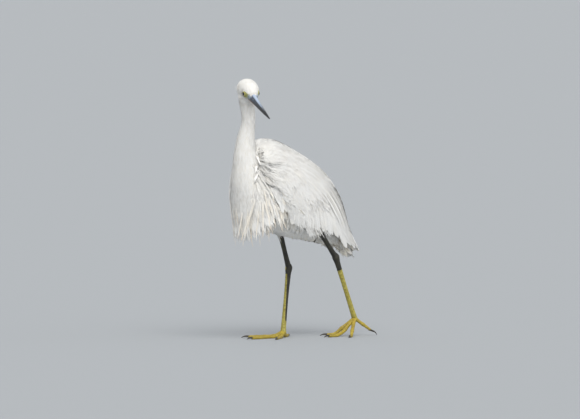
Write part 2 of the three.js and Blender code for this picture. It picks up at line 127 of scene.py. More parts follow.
TORSO = {
    "up": UP,
    "squareness": 2.2,
    "path": ease(
        [0, -124, 236], [0, -106, 240], [0, -78, 238], [0, -38, 224], [0, 4, 202], [0, 44, 176], [0, 78, 152]
    ),
    "size": ease(
        [12, 16, 18], [28, 42, 38], [39, 56, 59], [40, 56, 63], [36, 48, 54], [25, 32, 34], [11, 12, 12]
    ),
}
NECK = {
    "up": FORWARD,
    "path": ease(
        [0, -92, 205], [0, -104, 232], [0, -112, 256], [0, -118, 280], [0, -118, 310], [1.5, -114, 338],
        [1, -115, 358], [2, -120, 379]
    ),
    "size": ease(
        [40, 41, 36], [36, 32, 34], [27, 27, 30], [19, 19.5, 19], [14, 14.3, 13.5], [10.6, 10.8, 10.8],
        [11.2, 11.4, 11.4], [14, 14, 14]
    ),
}

# The head's own frame: its middle lies between the eyes.
# It is turned and drooped from the way that the bird walks.
HEAD_MIDDLE = np.array([17.0, -124, 383])
HEAD_TURN = math.radians(63)
HEAD_DROOP = math.radians(18.5)
head_forward = np.array(
    [
        math.sin(HEAD_TURN) * math.cos(HEAD_DROOP),
        -math.cos(HEAD_TURN) * math.cos(HEAD_DROOP),
        -math.sin(HEAD_DROOP),
    ]
)
head_left = unit(np.cross(UP, head_forward))
head_up = np.cross(head_forward, head_left)


def head_point(forward, left, up):
    """Points of the head, from its own forward, left and up."""
    f, l, u = (np.asarray(x, float)[..., None] for x in (forward, left, up))
    return HEAD_MIDDLE + f * head_forward + l * head_left + u * head_up


def head_path(*rows):
    local = ease(*rows)
    return lambda t: head_point(*local(t).T)


HEAD = {
    "up": head_up,
    "path": head_path([-38, 0, -2], [-31, 0, -1], [-19, 0, 0.5], [-4, 0, 2], [8, 0, 0], [17, 0, -2.5]),
    "size": ease(
        [6, 7.6, 7], [13, 12.4, 13], [16.6, 15.6, 18], [14.6, 13.8, 17], [9.8, 9.6, 12], [5.6, 6, 6.5]
    ),
}
BILL_TIP = 100.6
UPPER_BILL = {
    "up": head_up,
    "squareness": 1.8,
    "path": head_path([6, 0, -4], [24, 0, -3.7], [45, 0, -3.6], [72, 0, -3.4], [BILL_TIP, 0, -3.3]),
    "size": ease([7, 9.2, 0.6], [5.4, 7, 0.6], [4, 4.9, 0.6], [2.7, 2.8, 0.6], [0.7, 0.5, 0.5]),
}
LOWER_BILL = {
    "up": head_up,
    "squareness": 1.8,
    "path": head_path([6, 0, -5.4], [24, 0, -5.1], [45, 0, -4.9], [72, 0, -4.7], [BILL_TIP - 2, 0, -4.4]),
    "size": ease([6.8, 0.4, 5.6], [5, 0.4, 4.6], [3.6, 0.4, 3.5], [2.4, 0.4, 2.2], [0.6, 0.3, 0.4]),
}

# The folded wings lie on this form: shoulder at 0, tip at 1.
FOLDED = {
    "up": UP,
    "squareness": 2.3,
    "path": ease(
        [0, -112, 248], [0, -88, 246], [0, -48, 232], [0, -4, 208], [0, 38, 181], [0, 78, 152], [0, 116, 124]
    ),
    "size": ease(
        [34, 47, 85], [43, 65.5, 85], [47, 64.5, 85], [45, 65, 85], [37, 53.5, 80], [24, 26.5, 70],
        [12, 11, 50]
    ),
}
wing_edge_curve = ease([96, 0], [100, 0], [116, 0], [120, 0], [104, 0], [96, 0], [90, 0])


def wing_edge(along):
    """How far down the side the wing's lower edge lies, in degrees from the back."""
    return wing_edge_curve(along)[:, 0]


WRIST_ROUND = 11.0
WRIST_LENGTH = 0.13


def wing_point(along, down, lift, side):
    """A point of the wing on one side: along from shoulder to tip, down in degrees from the back.
    The wrist is rounded in towards the breast."""
    shape = np.broadcast_shapes(np.shape(along), np.shape(down), np.shape(lift))
    along, down, lift = (np.broadcast_to(np.asarray(x, float), shape).ravel() for x in (along, down, lift))
    lift = lift - WRIST_ROUND * (1 - smooth_step(-0.03, WRIST_LENGTH, along)) * smooth_step(45, 80, down)
    point = skin_point(FOLDED, along, np.radians(90 - down), lift)
    point[:, 0] *= side
    return point.reshape(*shape, 3)


EYE_RADIUS = 4.6


def eye_middle(side):
    return head_point(0.6, 9 * side, 0)


def eye_look(side):
    return unit(head_left * side + 0.35 * head_forward)


# The CAD model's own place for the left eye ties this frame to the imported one.
eye_low, eye_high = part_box("eye_left")
SHIFT = np.array((eye_low + eye_high) / 2) / MILLIMETRE - eye_middle(1)


def placed(points):
    """Points of the bird's frame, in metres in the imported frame."""
    return (np.asarray(points, float) + SHIFT) * MILLIMETRE


# ---------------------------------------------------------------- camera, and places read from the photograph

VIEW_TURN = math.radians(45)
VIEW_HEIGHT = math.radians(3)
VIEW_DISTANCE = 14000.0
PIXEL = 1.55
PICTURE = (580, 419)
SENSOR = 36.0
AIM = np.array([-21.3, -0.65, 198.3])
view_back = np.array(
    [
        math.sin(VIEW_TURN) * math.cos(VIEW_HEIGHT),
        -math.cos(VIEW_TURN) * math.cos(VIEW_HEIGHT),
        math.sin(VIEW_HEIGHT),
    ]
)
view_right = np.array([math.cos(VIEW_TURN), math.sin(VIEW_TURN), 0])
view_up = np.cross(view_back, view_right)
view_place = AIM + view_back * VIEW_DISTANCE


def sight(x, y):
    """The line of sight through a pixel of the photograph, as one unit vector."""
    across = (x - PICTURE[0] / 2) * PIXEL
    down = (y - PICTURE[1] / 2) * PIXEL
    return unit(AIM + view_right * across - view_up * down - view_place)


def at_depth(x, y, like):
    """The point behind a pixel that is as far from the camera as another point."""
    way = sight(x, y)
    reach = dot(like - view_place, -view_back) / dot(way, -view_back)
    return view_place + way * reach


def make_camera():
    camera = bpy.data.objects.new("camera", bpy.data.cameras.new("camera"))
    bpy.context.scene.collection.objects.link(camera)
    camera.data.sensor_width = SENSOR
    camera.data.lens = SENSOR * VIEW_DISTANCE / (PICTURE[0] * PIXEL)
    camera.data.clip_end = 200
    camera.location = Vector(placed(view_place))
    camera.rotation_mode = "QUATERNION"
    camera.rotation_quaternion = Vector(-view_back).to_track_quat("-Z", "Y")
    bpy.context.scene.camera = camera


make_camera()

# ---------------------------------------------------------------- materials


def feed(owner, target, value):
    """Gives an input its value: a socket is linked, and any other is set."""
    if isinstance(value, bpy.types.NodeSocket):
        owner.node_tree.links.new(value, target)
    else:
        target.default_value = value


def node(owner, kind, **values):
    """Adds a shader node with its settings and the values of its inputs."""
    made = owner.node_tree.nodes.new(kind)
    for key, value in values.items():
        if hasattr(made, key) and key not in made.inputs:
            setattr(made, key, value)
        else:
            feed(owner, made.inputs[key], value)
    return made


def new_material(name, **sockets):
    made = bpy.data.materials.new(name)
    made.use_nodes = True
    shader = made.node_tree.nodes["Principled BSDF"]
    for key, value in sockets.items():
        shader.inputs[key.replace("_", " ")].default_value = value
    return made, shader


def noise(owner, scale, detail=3.0):
    """Noise in the object's own coordinates, in cells to the metre."""
    place = node(owner, "ShaderNodeTexCoord").outputs["Object"]
    return node(owner, "ShaderNodeTexNoise", Vector=place, Scale=scale, Detail=detail).outputs["Fac"]


def noted(owner, name):
    """The number that note() keeps for each vertex."""
    return node(owner, "ShaderNodeAttribute", attribute_name=name).outputs["Fac"]


def blend_colour(owner, share, low, high):
    made = node(owner, "ShaderNodeMix", data_type="RGBA")
    for number, value in ((0, share), (6, low), (7, high)):
        feed(owner, made.inputs[number], value)
    return made.outputs[2]


def spread(owner, value, low, high, to_low=0.0, to_high=1.0):
    ends = {"From Min": low, "From Max": high, "To Min": to_low, "To Max": to_high}
    return node(owner, "ShaderNodeMapRange", Value=value, **ends).outputs[0]


def maths(owner, operation, a, b=0.0):
    made = node(owner, "ShaderNodeMath", operation=operation)
    feed(owner, made.inputs[0], a)
    feed(owner, made.inputs[1], b)
    return made.outputs[0]


def unsettled(owner, value, cloud, share):
    """A value made uneven by noise."""
    return maths(owner, "ADD", value, maths(owner, "MULTIPLY", maths(owner, "SUBTRACT", cloud, 0.5), share))


def bump(owner, height, strength, distance, under=None):
    made = node(owner, "ShaderNodeBump", Height=height, Strength=strength, Distance=distance)
    if under is not None:
        feed(owner, made.inputs["Normal"], under)
    return made.outputs[0]


def rgb(r, g, b):
    """A colour as it looks on a screen, from 0 to 255, as linear light."""
    linear = [(c / 255 / 12.92) if c < 11 else ((c / 255 + 0.055) / 1.055) ** 2.4 for c in (r, g, b)]
    return (*linear, 1.0)


PLUME_WHITE = rgb(244, 243, 240)
PLUME_WARM = rgb(240, 234, 222)
PLUME_ROOT = rgb(232, 226, 214)
PLUME_BUFF = rgb(226, 206, 176)
BARB_ROWS = 60.0


def plumage(name, root, middle, tip, barb_depth=0.00003, barb_rows=BARB_ROWS):
    """White feather: its colour runs from root to tip, with fine barbs that leave the shaft at a slant."""
    made, shader = new_material(
        name, Roughness=0.72, Sheen_Weight=0.25, Sheen_Roughness=0.5, Specular_IOR_Level=0.25
    )
    vane = node(made, "ShaderNodeUVMap", uv_map="vane").outputs[0]
    parts = node(made, "ShaderNodeSeparateXYZ", Vector=vane).outputs
    cloud = spread(made, noise(made, 45.0), 0.35, 0.7)
    inner = blend_colour(made, spread(made, parts[1], 0.0, 0.45), root, middle)
    outer = blend_colour(made, spread(made, parts[1], 0.7, 1.0), inner, tip)
    tone = noted(made, "tone")
    shade = maths(made, "MULTIPLY", tone, cloud)
    warm = spread(made, shade, 0.0, 1.0, 0.0, 0.5)
    feed(made, shader.inputs["Base Color"], blend_colour(made, warm, outer, PLUME_WARM))
    across = maths(made, "ABSOLUTE", maths(made, "SUBTRACT", parts[0], 0.5))
    slanted = maths(made, "SUBTRACT", parts[1], maths(made, "MULTIPLY", across, 0.22))
    barb = maths(made, "SINE", maths(made, "MULTIPLY", slanted, barb_rows * math.tau))
    grain = noise(made, 2600.0, 2.0)
    under = bump(made, grain, 0.35, 0.0001)
    feed(made, shader.inputs["Normal"], bump(made, barb, 0.5, barb_depth, under))
    return made


white_feather = plumage("white_feather", PLUME_ROOT, PLUME_WHITE, PLUME_WHITE)
# Feathers of the body and flanks: their cream middles are painted warm shade, the warm shaded light under the
# belly and along the flanks.
cream_painted_shade_feather = plumage("cream_painted_shade_feather", PLUME_ROOT, PLUME_WARM, PLUME_WHITE)
flight_feather = plumage("flight_feather", PLUME_WHITE, PLUME_WHITE, PLUME_WHITE, 0.00007, 130.0)
buff_plume = plumage("buff_plume", PLUME_WHITE, PLUME_WARM, PLUME_BUFF, 0.00002)
# The tail's feathers are painted brown at the root and middle, as painted shade of the hollow under the tail;
# their white tips make its rim.
tail_feather_painted_shade = plumage("tail_feather", rgb(170, 148, 122), rgb(212, 194, 168), PLUME_WHITE)


def down_material():
    """The skin under the feathers, covered in white down."""
    made, shader = new_material(
        "white_down", Roughness=0.9, Sheen_Weight=0.3, Sheen_Roughness=0.6, Specular_IOR_Level=0.1
    )
    cloud = spread(made, noise(made, 90.0), 0.3, 0.7)
    feed(made, shader.inputs["Base Color"], blend_colour(made, cloud, PLUME_WARM, PLUME_WHITE))
    feed(made, shader.inputs["Normal"], bump(made, noise(made, 900.0, 5.0), 0.6, 0.0006))
    return made


white_down = down_material()


def bill_material(name, base, middle, tip, edge, light):
    """Horn: pale at its root and black at its tip, blotched, with a light band along its crown and fine
    lines. On the upper bill the band is a painted highlight, sky light on its ridge; on the lower bill it is
    the pale underside.
    """
    made, shader = new_material(name, Roughness=0.32, Coat_Weight=0.25, Coat_Roughness=0.12)
    reach = noted(made, "reach")
    rim = noted(made, "rim")
    crown = noted(made, "crown")
    cloud = noise(made, 260.0, 4.0)
    uneven = unsettled(made, reach, cloud, 0.35)
    first = blend_colour(made, spread(made, uneven, 0.0, 0.22), base, middle)
    second = blend_colour(made, spread(made, uneven, 0.2, 0.55), first, tip)
    spots = spread(made, noise(made, 170.0, 2.0), 0.44, 0.54)
    blotch = maths(made, "MULTIPLY", spots, spread(made, reach, 0.55, 0.35))
    blotched = blend_colour(made, maths(made, "MULTIPLY", blotch, 0.85), second, middle)
    # The crown band: on the upper bill a painted highlight along the ridge, on the lower bill its pale
    # underside; both fade towards the tip.
    ridge = maths(made, "MULTIPLY", crown, spread(made, uneven, 0.72, 0.3))
    ridged = blend_colour(made, maths(made, "MULTIPLY", ridge, 0.9), blotched, light)
    edge_share = maths(made, "MULTIPLY", rim, spread(made, uneven, 0.1, 0.4, 0.25, 1.0))
    feed(made, shader.inputs["Base Color"], blend_colour(made, edge_share, ridged, edge))
    feed(made, shader.inputs["Roughness"], spread(made, cloud, 0.3, 0.7, 0.24, 0.42))
    grooves = noise(made, 900.0, 3.0)
    feed(made, shader.inputs["Normal"], bump(made, grooves, 0.25, 0.00012))
    return made


BILL_BLACK = rgb(22, 23, 26)
# The upper bill's last colour is its painted highlight, sky light along the ridge.
upper_horn = bill_material(
    "upper_bill_horn", rgb(104, 117, 138), rgb(46, 54, 68), BILL_BLACK, BILL_BLACK, rgb(184, 200, 222)
)
lower_horn = bill_material(
    "lower_bill_horn", rgb(196, 176, 168), rgb(120, 108, 106), BILL_BLACK, BILL_BLACK, rgb(206, 186, 178)
)


def bare_skin():
    """The bare skin round the eye and before it: yellow-green by the eye, blue-grey by the bill."""
    made, shader = new_material("lore_skin", Roughness=0.5, Specular_IOR_Level=0.4)
    cloud = noise(made, 420.0, 4.0)
    ahead = noted(made, "ahead")
    uneven = unsettled(made, ahead, cloud, 0.4)
    yellow = blend_colour(made, spread(made, cloud, 0.35, 0.65), rgb(140, 142, 78), rgb(184, 178, 92))
    grey = blend_colour(made, spread(made, cloud, 0.35, 0.65), rgb(122, 134, 148), rgb(166, 178, 190))
    both = blend_colour(made, spread(made, uneven, 0.42, 0.72), yellow, grey)
    # rim: the dark edge of the lids, and on the lores painted shade in the bottoms of the wrinkles.
    fold = noted(made, "rim")
    feed(made, shader.inputs["Base Color"], blend_colour(made, fold, both, rgb(96, 100, 88)))
    feed(made, shader.inputs["Normal"], bump(made, noise(made, 1800.0, 4.0), 0.5, 0.00025))
    return made


lore_skin = bare_skin()


def eye_material():
    """The eye: black pupil, pale yellow iris with fine rays and a dark rim, under one glossy coat."""
    made, shader = new_material("eye_yellow", Roughness=0.12, Coat_Weight=1.0, Coat_Roughness=0.02)
    gaze = noted(made, "gaze")
    ray = noise(made, 1500.0, 3.0)
    iris = blend_colour(made, spread(made, ray, 0.35, 0.7), rgb(206, 190, 84), rgb(232, 222, 138))
    rimmed = blend_colour(made, spread(made, gaze, 0.7, 0.8), iris, rgb(60, 52, 30))
    pupil = blend_colour(made, spread(made, gaze, 0.6, 0.63), rgb(4, 4, 5), rimmed)
    feed(made, shader.inputs["Base Color"], pupil)
    return made


eye_yellow = eye_material()


def leg_material(name, yellow, yellow_deep, black, scale=520.0):
    """Scaled leg skin. An attribute says where it is black, and the border between is ragged."""
    made, shader = new_material(name, Roughness=0.46, Specular_IOR_Level=0.5)
    cell = node(
        made,
        "ShaderNodeTexVoronoi",
        Vector=node(made, "ShaderNodeTexCoord").outputs["Object"],
        Scale=scale,
        feature="DISTANCE_TO_EDGE",
    ).outputs["Distance"]
    seam = spread(made, cell, 0.0, 0.12)
    cloud = noise(made, 150.0, 4.0)
    fine = noise(made, 700.0, 3.0)
    dark = noted(made, "dark")
    crease = noted(made, "crease")
    ragged = unsettled(made, dark, fine, 0.5)
    mask = spread(made, ragged, 0.42, 0.58)
    light = blend_colour(made, spread(made, cloud, 0.3, 0.7), yellow_deep, yellow)
    creased = blend_colour(made, maths(made, "MULTIPLY", crease, 0.7), light, rgb(96, 84, 34))
    seamed = blend_colour(made, seam, rgb(120, 108, 44), creased)
    sooty = blend_colour(made, spread(made, cloud, 0.35, 0.75), black, rgb(58, 55, 40))
    feed(made, shader.inputs["Base Color"], blend_colour(made, mask, seamed, sooty))
    under = bump(made, seam, 0.55, 0.0003)
    feed(made, shader.inputs["Normal"], bump(made, fine, 0.2, 0.0002, under))
    feed(made, shader.inputs["Roughness"], spread(made, cloud, 0.3, 0.7, 0.38, 0.56))
    return made


leg_skin = leg_material("leg_scales", rgb(196, 186, 92), rgb(158, 146, 58), rgb(22, 21, 18))
foot_skin = leg_material("foot_scales", rgb(200, 178, 60), rgb(168, 142, 44), rgb(30, 27, 18))


def claw_material():
    made, shader = new_material("claw_horn", Roughness=0.3, Coat_Weight=0.2, Coat_Roughness=0.2)
    cloud = noise(made, 500.0, 3.0)
    feed(made, shader.inputs["Base Color"], blend_colour(made, cloud, rgb(28, 25, 22), rgb(66, 58, 46)))
    feed(made, shader.inputs["Normal"], bump(made, noise(made, 2200.0, 2.0), 0.2, 0.0001))
    return made


claw_horn = claw_material()

# ---------------------------------------------------------------- modelling by hand


def deselect():
    if bpy.context.object is not None and bpy.context.object.mode != "OBJECT":
        bpy.ops.object.mode_set(mode="OBJECT")
    bpy.ops.object.select_all(action="DESELECT")


def choose(piece):
    deselect()
    piece.select_set(True)
    bpy.context.view_layer.objects.active = piece


def places_of(piece):
    co = np.empty(len(piece.data.vertices) * 3)
    piece.data.vertices.foreach_get("co", co)
    return co.reshape(-1, 3)


def put(piece, points):
    piece.data.vertices.foreach_set("co", np.asarray(points, float).ravel())
    piece.data.update()


def note(piece, name, values):
    """Keeps one number for each vertex, which a material reads."""
    attribute = piece.data.attributes.new(name, "FLOAT", "POINT")
    attribute.data.foreach_set("value", np.asarray(values, np.float32))


def face_out(piece):
    choose(piece)
    bpy.ops.object.mode_set(mode="EDIT")
    bpy.ops.mesh.select_all(action="SELECT")
    bpy.ops.mesh.remove_doubles(threshold=1e-7)
    bpy.ops.mesh.normals_make_consistent(inside=False)
    bpy.ops.object.mode_set(mode="OBJECT")


def shade_smooth(piece, angle=None):
    choose(piece)
    if angle is None:
        bpy.ops.object.shade_smooth()
    else:
        bpy.ops.object.shade_smooth_by_angle(angle=math.radians(angle))


def modify(piece, kind, **settings):
    choose(piece)
    modifier = piece.modifiers.new(kind.lower(), kind)
    for key, value in settings.items():
        setattr(modifier, key, value)
    bpy.ops.object.modifier_apply(modifier=modifier.name)


def join(pieces, name):
    deselect()
    for piece in pieces:
        piece.select_set(True)
    bpy.context.view_layer.objects.active = pieces[0]
    bpy.ops.object.join()
    pieces[0].name = name
    return pieces[0]


def swept(name, body, sides, rings, dome=0.0, grow=0.0, relief=None):
    """A closed body: a ball is added, and its rings are moved to the sections of the body's path."""
    deselect()
    bpy.ops.mesh.primitive_uv_sphere_add(segments=sides, ring_count=rings + 1, radius=1)
    piece = bpy.context.object
    piece.name = name
    co = places_of(piece)
    ring = np.rint(np.arccos(np.clip(co[:, 2], -1, 1)) / math.pi * (rings + 1)).astype(int)
    turn = np.arctan2(co[:, 1], co[:, 0])
    t = np.clip((ring - 1) / (rings - 1), 0, 1)
    extra = grow if relief is None else grow + relief(t, turn)
    points = skin_point(body, t, turn, extra)
    for pole, end, way in ((0, 0.0, -1), (rings + 1, 1.0, 1)):
        middle, along, _, _ = frame_at(body, end)
        points[ring == pole] = middle + along * way * (dome + grow)
    put(piece, placed(points))
    face_out(piece)
    return piece, t, turn


def wear(piece, material, replaced=()):
    """The piece's last steps: its material, its body and the nodes that it stands for."""
    piece.data.materials.clear()
    piece.data.materials.append(material)
    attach(piece, BODY)
    if replaced:
        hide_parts(*replaced)
    return piece


# ---------------------------------------------------------------- one skin under the feathers

COAT_DEPTH = {"head": 1.3, "neck": 2.6, "torso": 4.5, "thigh": 4.0, "wing": 4.0}
THIGHS = {
    1: ([23, -16, 206], [24, 6, 184], [24, 19, 165]),
    -1: ([-23, -34, 206], [-22, -26, 184], [-22, -21, 162]),
}


def thigh_body(side):
    return {
        "up": FORWARD,
        "path": ease(*THIGHS[side]),
        "size": ease([15, 20, 20], [11, 14, 13], [5.5, 6.5, 6.5]),
    }


WING_PLATE = 0.0036


def wing_plate(side):
    """The arm and hand of a folded wing, as one curved plate."""
    deselect()
    columns, rows = 24, 40
    bpy.ops.mesh.primitive_grid_add(x_subdivisions=columns, y_subdivisions=rows, size=2)
    piece = bpy.context.object
    co = places_of(piece)
    u = (co[:, 0] + 1) / 2
    v = (co[:, 1] + 1) / 2
    along = mix(0, 0.86, v)
    down = mix(4, wing_edge(v) - 8, u)
    put(piece, placed(wing_point(along, down, -COAT_DEPTH["wing"], side)))
    modify(piece, "SOLIDIFY", thickness=WING_PLATE, offset=1)
    face_out(piece)
    return piece


SKIN_VOXEL = 0.0018
BACK_RIDGE = {
    "up": UP,
    "squareness": 3,
    "path": lambda t: skin_point(FOLDED, mix(0.0, 0.9, t), np.full(np.shape(t), math.pi / 2), -14.8),
    "size": lambda t: mix(np.array([11.0, 12, 12]), np.array([7.0, 12, 12]), np.atleast_1d(t)[:, None]),
}
SHOULDER = {
    "up": UP,
    "squareness": 2.2,
    "path": lambda t: FOLDED["path"](0.02 + 0.55 * t),
    "size": lambda t: (FOLDED["size"](0.02 + 0.55 * t) * [1, 1, 0] + [-5.5, -5.5, 46])
    * mix(0.35, 1, smooth_step(-0.05, 0.16, t) ** 0.6)[:, None],
}


def crease_body(side):
    """Soft flesh in the crease between the neck and a folded wing."""
    places = ([10, -98, 300], [15.5, -102, 291], [20.5, -105, 281], [25, -105, 270], [29, -101, 259])
    return {
        "up": FORWARD,
        "path": ease(*[[side * x, y, z] for x, y, z in places]),
        "size": ease([4, 5, 5], [6, 6.5, 7], [6.8, 7, 7], [6.5, 7, 7], [5, 6, 5]),
    }


def make_skin():
    parts = [
        swept("torso_core", TORSO, 48, 40, 3, -COAT_DEPTH["torso"])[0],
        swept("neck_core", NECK, 40, 60, 1, -COAT_DEPTH["neck"])[0],
        swept("head_core", HEAD, 40, 36, 1, -COAT_DEPTH["head"])[0],
        swept("shoulder_core", SHOULDER, 48, 40, 1)[0],
        swept("back_core", BACK_RIDGE, 20, 30, 2)[0],
    ]
    for side in (1, -1):
        parts.append(swept("thigh_core", thigh_body(side), 28, 20, 1, -COAT_DEPTH["thigh"] + 1.5)[0])
        parts.append(wing_plate(side))
        parts.append(swept("crease_core", crease_body(side), 24, 20, 1)[0])
    skin = join(parts, "skin")
    modify(skin, "REMESH", mode="VOXEL", voxel_size=SKIN_VOXEL)
    modify(skin, "SMOOTH", factor=0.5, iterations=14)
    shade_smooth(skin)
    return wear(
        skin,
        white_down,
        ("head", "neck_upper", "neck_lower", "torso", "thigh_left", "thigh_right"),
    )


skin = make_skin()
skin_points = places_of(skin) / MILLIMETRE - SHIFT


def skin_triangles():
    skin.data.calc_loop_triangles()
    corners = np.empty(len(skin.data.loop_triangles) * 3, np.int32)
    skin.data.loop_triangles.foreach_get("vertices", corners)
    return corners.reshape(-1, 3)


skin_faces = skin_triangles()
skin_tree = BVHTree.FromPolygons([Vector(p) for p in skin_points], skin_faces.tolist())

# ---------------------------------------------------------------- the lie of the feathers

# Each region of the coat and its share of the unwrapped skin, from and to.
UNWRAP = {
    "neck": (0.02, 0.30),
    "head": (0.34, 0.50),
    "torso": (0.54, 0.74),
    "thigh": (0.78, 0.84),
    "wing": (0.86, 0.98),
}


class Lie:
    """Which way the feathers lie: guides on every swept body, blended between their neighbours."""

    def __init__(self):
        self.places, self.ways, self.regions, self.stations, self.turns = [], [], [], [], []

    def add(self, region, body, t, turn, way_of):
        t, turn = (x.ravel() for x in np.meshgrid(t, turn))
        point = skin_point(body, t, turn)
        _, along, _, _ = frame_at(body, t)
        way = way_of(t, turn, along)
        self.places.append(point)
        self.ways.append(unit(way))
        self.regions += [region] * len(t)
        self.stations.append(t)
        self.turns.append(turn)

    def grow_tree(self):
        self.places = np.vstack(self.places)
        self.ways = np.vstack(self.ways)
        self.stations = np.concatenate(self.stations)
        self.turns = np.concatenate(self.turns)
        self.tree = KDTree(len(self.places))
        for i, p in enumerate(self.places):
            self.tree.insert(p, i)
        self.tree.balance()

    def read(self, points, count=7):
        """For each point: the way that its feather lies, its region, station and turn."""
        ways = np.zeros((len(points), 3))
        regions, stations, turns = [], np.zeros(len(points)), np.zeros(len(points))
        for k, p in enumerate(points):
            found = self.tree.find_n(p, count)
            index = np.array([f[1] for f in found])
            weight = 1 / (np.array([f[2] for f in found]) + 2.0) ** 2
            ways[k] = weight @ self.ways[index]
            region = self.regions[index[0]]
            same = np.array([self.regions[i] == region for i in index])
            w = weight * same / np.sum(weight * same)
            regions.append(region)
            stations[k] = w @ self.stations[index]
            turns[k] = math.atan2(w @ np.sin(self.turns[index]), w @ np.cos(self.turns[index]))
        return unit(ways), np.array(regions), stations, turns


def full_turn(count):
    return np.linspace(-math.pi, math.pi, count, endpoint=False)


lie = Lie()


def neck_way(t, turn, along):
    """Down the neck, fanning out backwards over the shoulders at its foot."""
    fan = smooth_step(0.4, 0.08, t) * smooth_step(0.75, -0.15, np.sin(turn))
    return -along + fan[:, None] * [0, 1.0, 0.25]


lie.add("neck", NECK, np.linspace(0.02, 0.93, 34), full_turn(20), neck_way)


def head_way(t, _, along):
    nape = smooth_step(0.35, 0.0, t)[:, None]
    return -along * (1 - 0.6 * nape) - head_up * nape


lie.add("head", HEAD, np.linspace(0.03, 1, 16), full_turn(18), head_way)


def torso_way(_, turn, along):
    low = np.clip(-np.sin(turn), 0, 1)[:, None]
    return along - UP * (0.25 + 0.35 * low)


lie.add("torso", TORSO, np.linspace(0.05, 1, 22), full_turn(24), torso_way)
for side in (1, -1):
    lie.add("thigh", thigh_body(side), np.linspace(0.2, 1, 8), full_turn(12), lambda t, turn, along: along)


def wing_way(t, turn, along):
    hang = np.clip(np.abs(np.degrees(math.pi / 2 - turn)) / 90, 0, 1.1)[:, None]
    return along - UP * (0.12 + 0.75 * hang * smooth_step(0.75, 0.0, t)[:, None])


lie.add(
    "wing",
    FOLDED,
    np.linspace(0, 0.95, 26),
    math.pi / 2 + np.radians(np.linspace(-108, 108, 30)),
    wing_way,
)
lie.grow_tree()


def nearest(point):
    place, normal, _, gap = skin_tree.find_nearest(point)
    return place, normal, gap


# Places are tried this many times over, and two of them keep this share of the spacing apart, squared.
TRIES = 3.2
ROOM_TO_NEXT = 0.72
LEAST_SPACING = 0.3
CELLS = [(x, y, z) for x in (-1, 0, 1) for y in (-1, 0, 1) for z in (-1, 0, 1)]


def scatter(spacing_at, seed):
    """Places on the skin, evenly apart. spacing_at gives the distance to keep, or 0 for no place."""
    rng = np.random.default_rng(seed)
    a, b, c = (skin_points[skin_faces[:, k]] for k in range(3))
    spacing = spacing_at((a + b + c) / 3)
    area = np.linalg.norm(np.cross(b - a, c - a), axis=1) / 2
    density = np.where(spacing > 0, area / np.maximum(spacing, LEAST_SPACING) ** 2, 0)
    count = int(density.sum() * TRIES)
    pick = rng.choice(len(area), count, p=density / density.sum())
    u, v = rng.random(count), rng.random(count)
    over = u + v > 1
    u[over], v[over] = 1 - u[over], 1 - v[over]
    point = a[pick] + (b - a)[pick] * u[:, None] + (c - a)[pick] * v[:, None]
    gap = spacing[pick]
    grid, chosen = {}, []
    keys = np.floor(point / float(gap.max())).astype(int)
    for i in range(count):
        x, y, z = keys[i]
        p, least = point[i], gap[i] * gap[i] * ROOM_TO_NEXT
        around = (point[j] for dx, dy, dz in CELLS for j in grid.get((x + dx, y + dy, z + dz), ()))
        if any((p[0] - q[0]) ** 2 + (p[1] - q[1]) ** 2 + (p[2] - q[2]) ** 2 < least for q in around):
            continue
        grid.setdefault((x, y, z), []).append(i)
        chosen.append(i)
    return point[chosen]


def toward_tip(rows):
    """Shares of a feather's length for its rows, closer together near the tip."""
    return 1 - (1 - np.linspace(0, 1, rows)) ** 1.5


def straight(roots, tips, v):
    """Straight lines from roots to tips, at the shares v of their length."""
    return roots[:, None, :] + (tips - roots)[:, None, :] * v[None, :, None]


# A feather follows the skin until the skin turns this far from its root, then it keeps straight on.
MOST_TURN = math.cos(math.radians(38))


def creep(roots, ways, lengths, shares):
    """Shafts that follow the skin from each root, with the skin's normal at every row."""
    rows = len(shares)
    shafts = np.zeros((len(roots), rows, 3))
    normals = np.zeros((len(roots), rows, 3))
    for i in range(len(roots)):
        place, normal, _ = nearest(roots[i])
        first = normal.copy()
        way = Vector(ways[i])
        for j in range(rows):
            shafts[i, j] = place
            normals[i, j] = normal
            way = (way - normal * way.dot(normal)).normalized()
            if j < rows - 1:
                step = lengths[i] * (shares[j + 1] - shares[j])
                found, turned, _ = nearest(place + way * step)
                if (found - place).length < step * 0.6 or turned.dot(first) < MOST_TURN:
                    found = place + way * step
                    turned = normal
                place, normal = found, (normal * 0.35 + turned * 0.65).normalized()
    return shafts, normals


DEEPEST = 40


def push_out(points, room):
    """Moves points that lie in the skin, or closer to it than room, out of it."""
    moved = np.array(points, float)
    flat = moved.reshape(-1, 3)
    need = np.broadcast_to(room, moved.shape[:-1]).ravel()
    for i, p in enumerate(flat):
        place, normal, gap = nearest(p)
        if gap < DEEPEST and (Vector(p) - place).dot(normal) < need[i]:
            flat[i] = place + normal * need[i]
    return moved


# ---------------------------------------------------------------- feathers as closed meshes

PATCH = 0.003


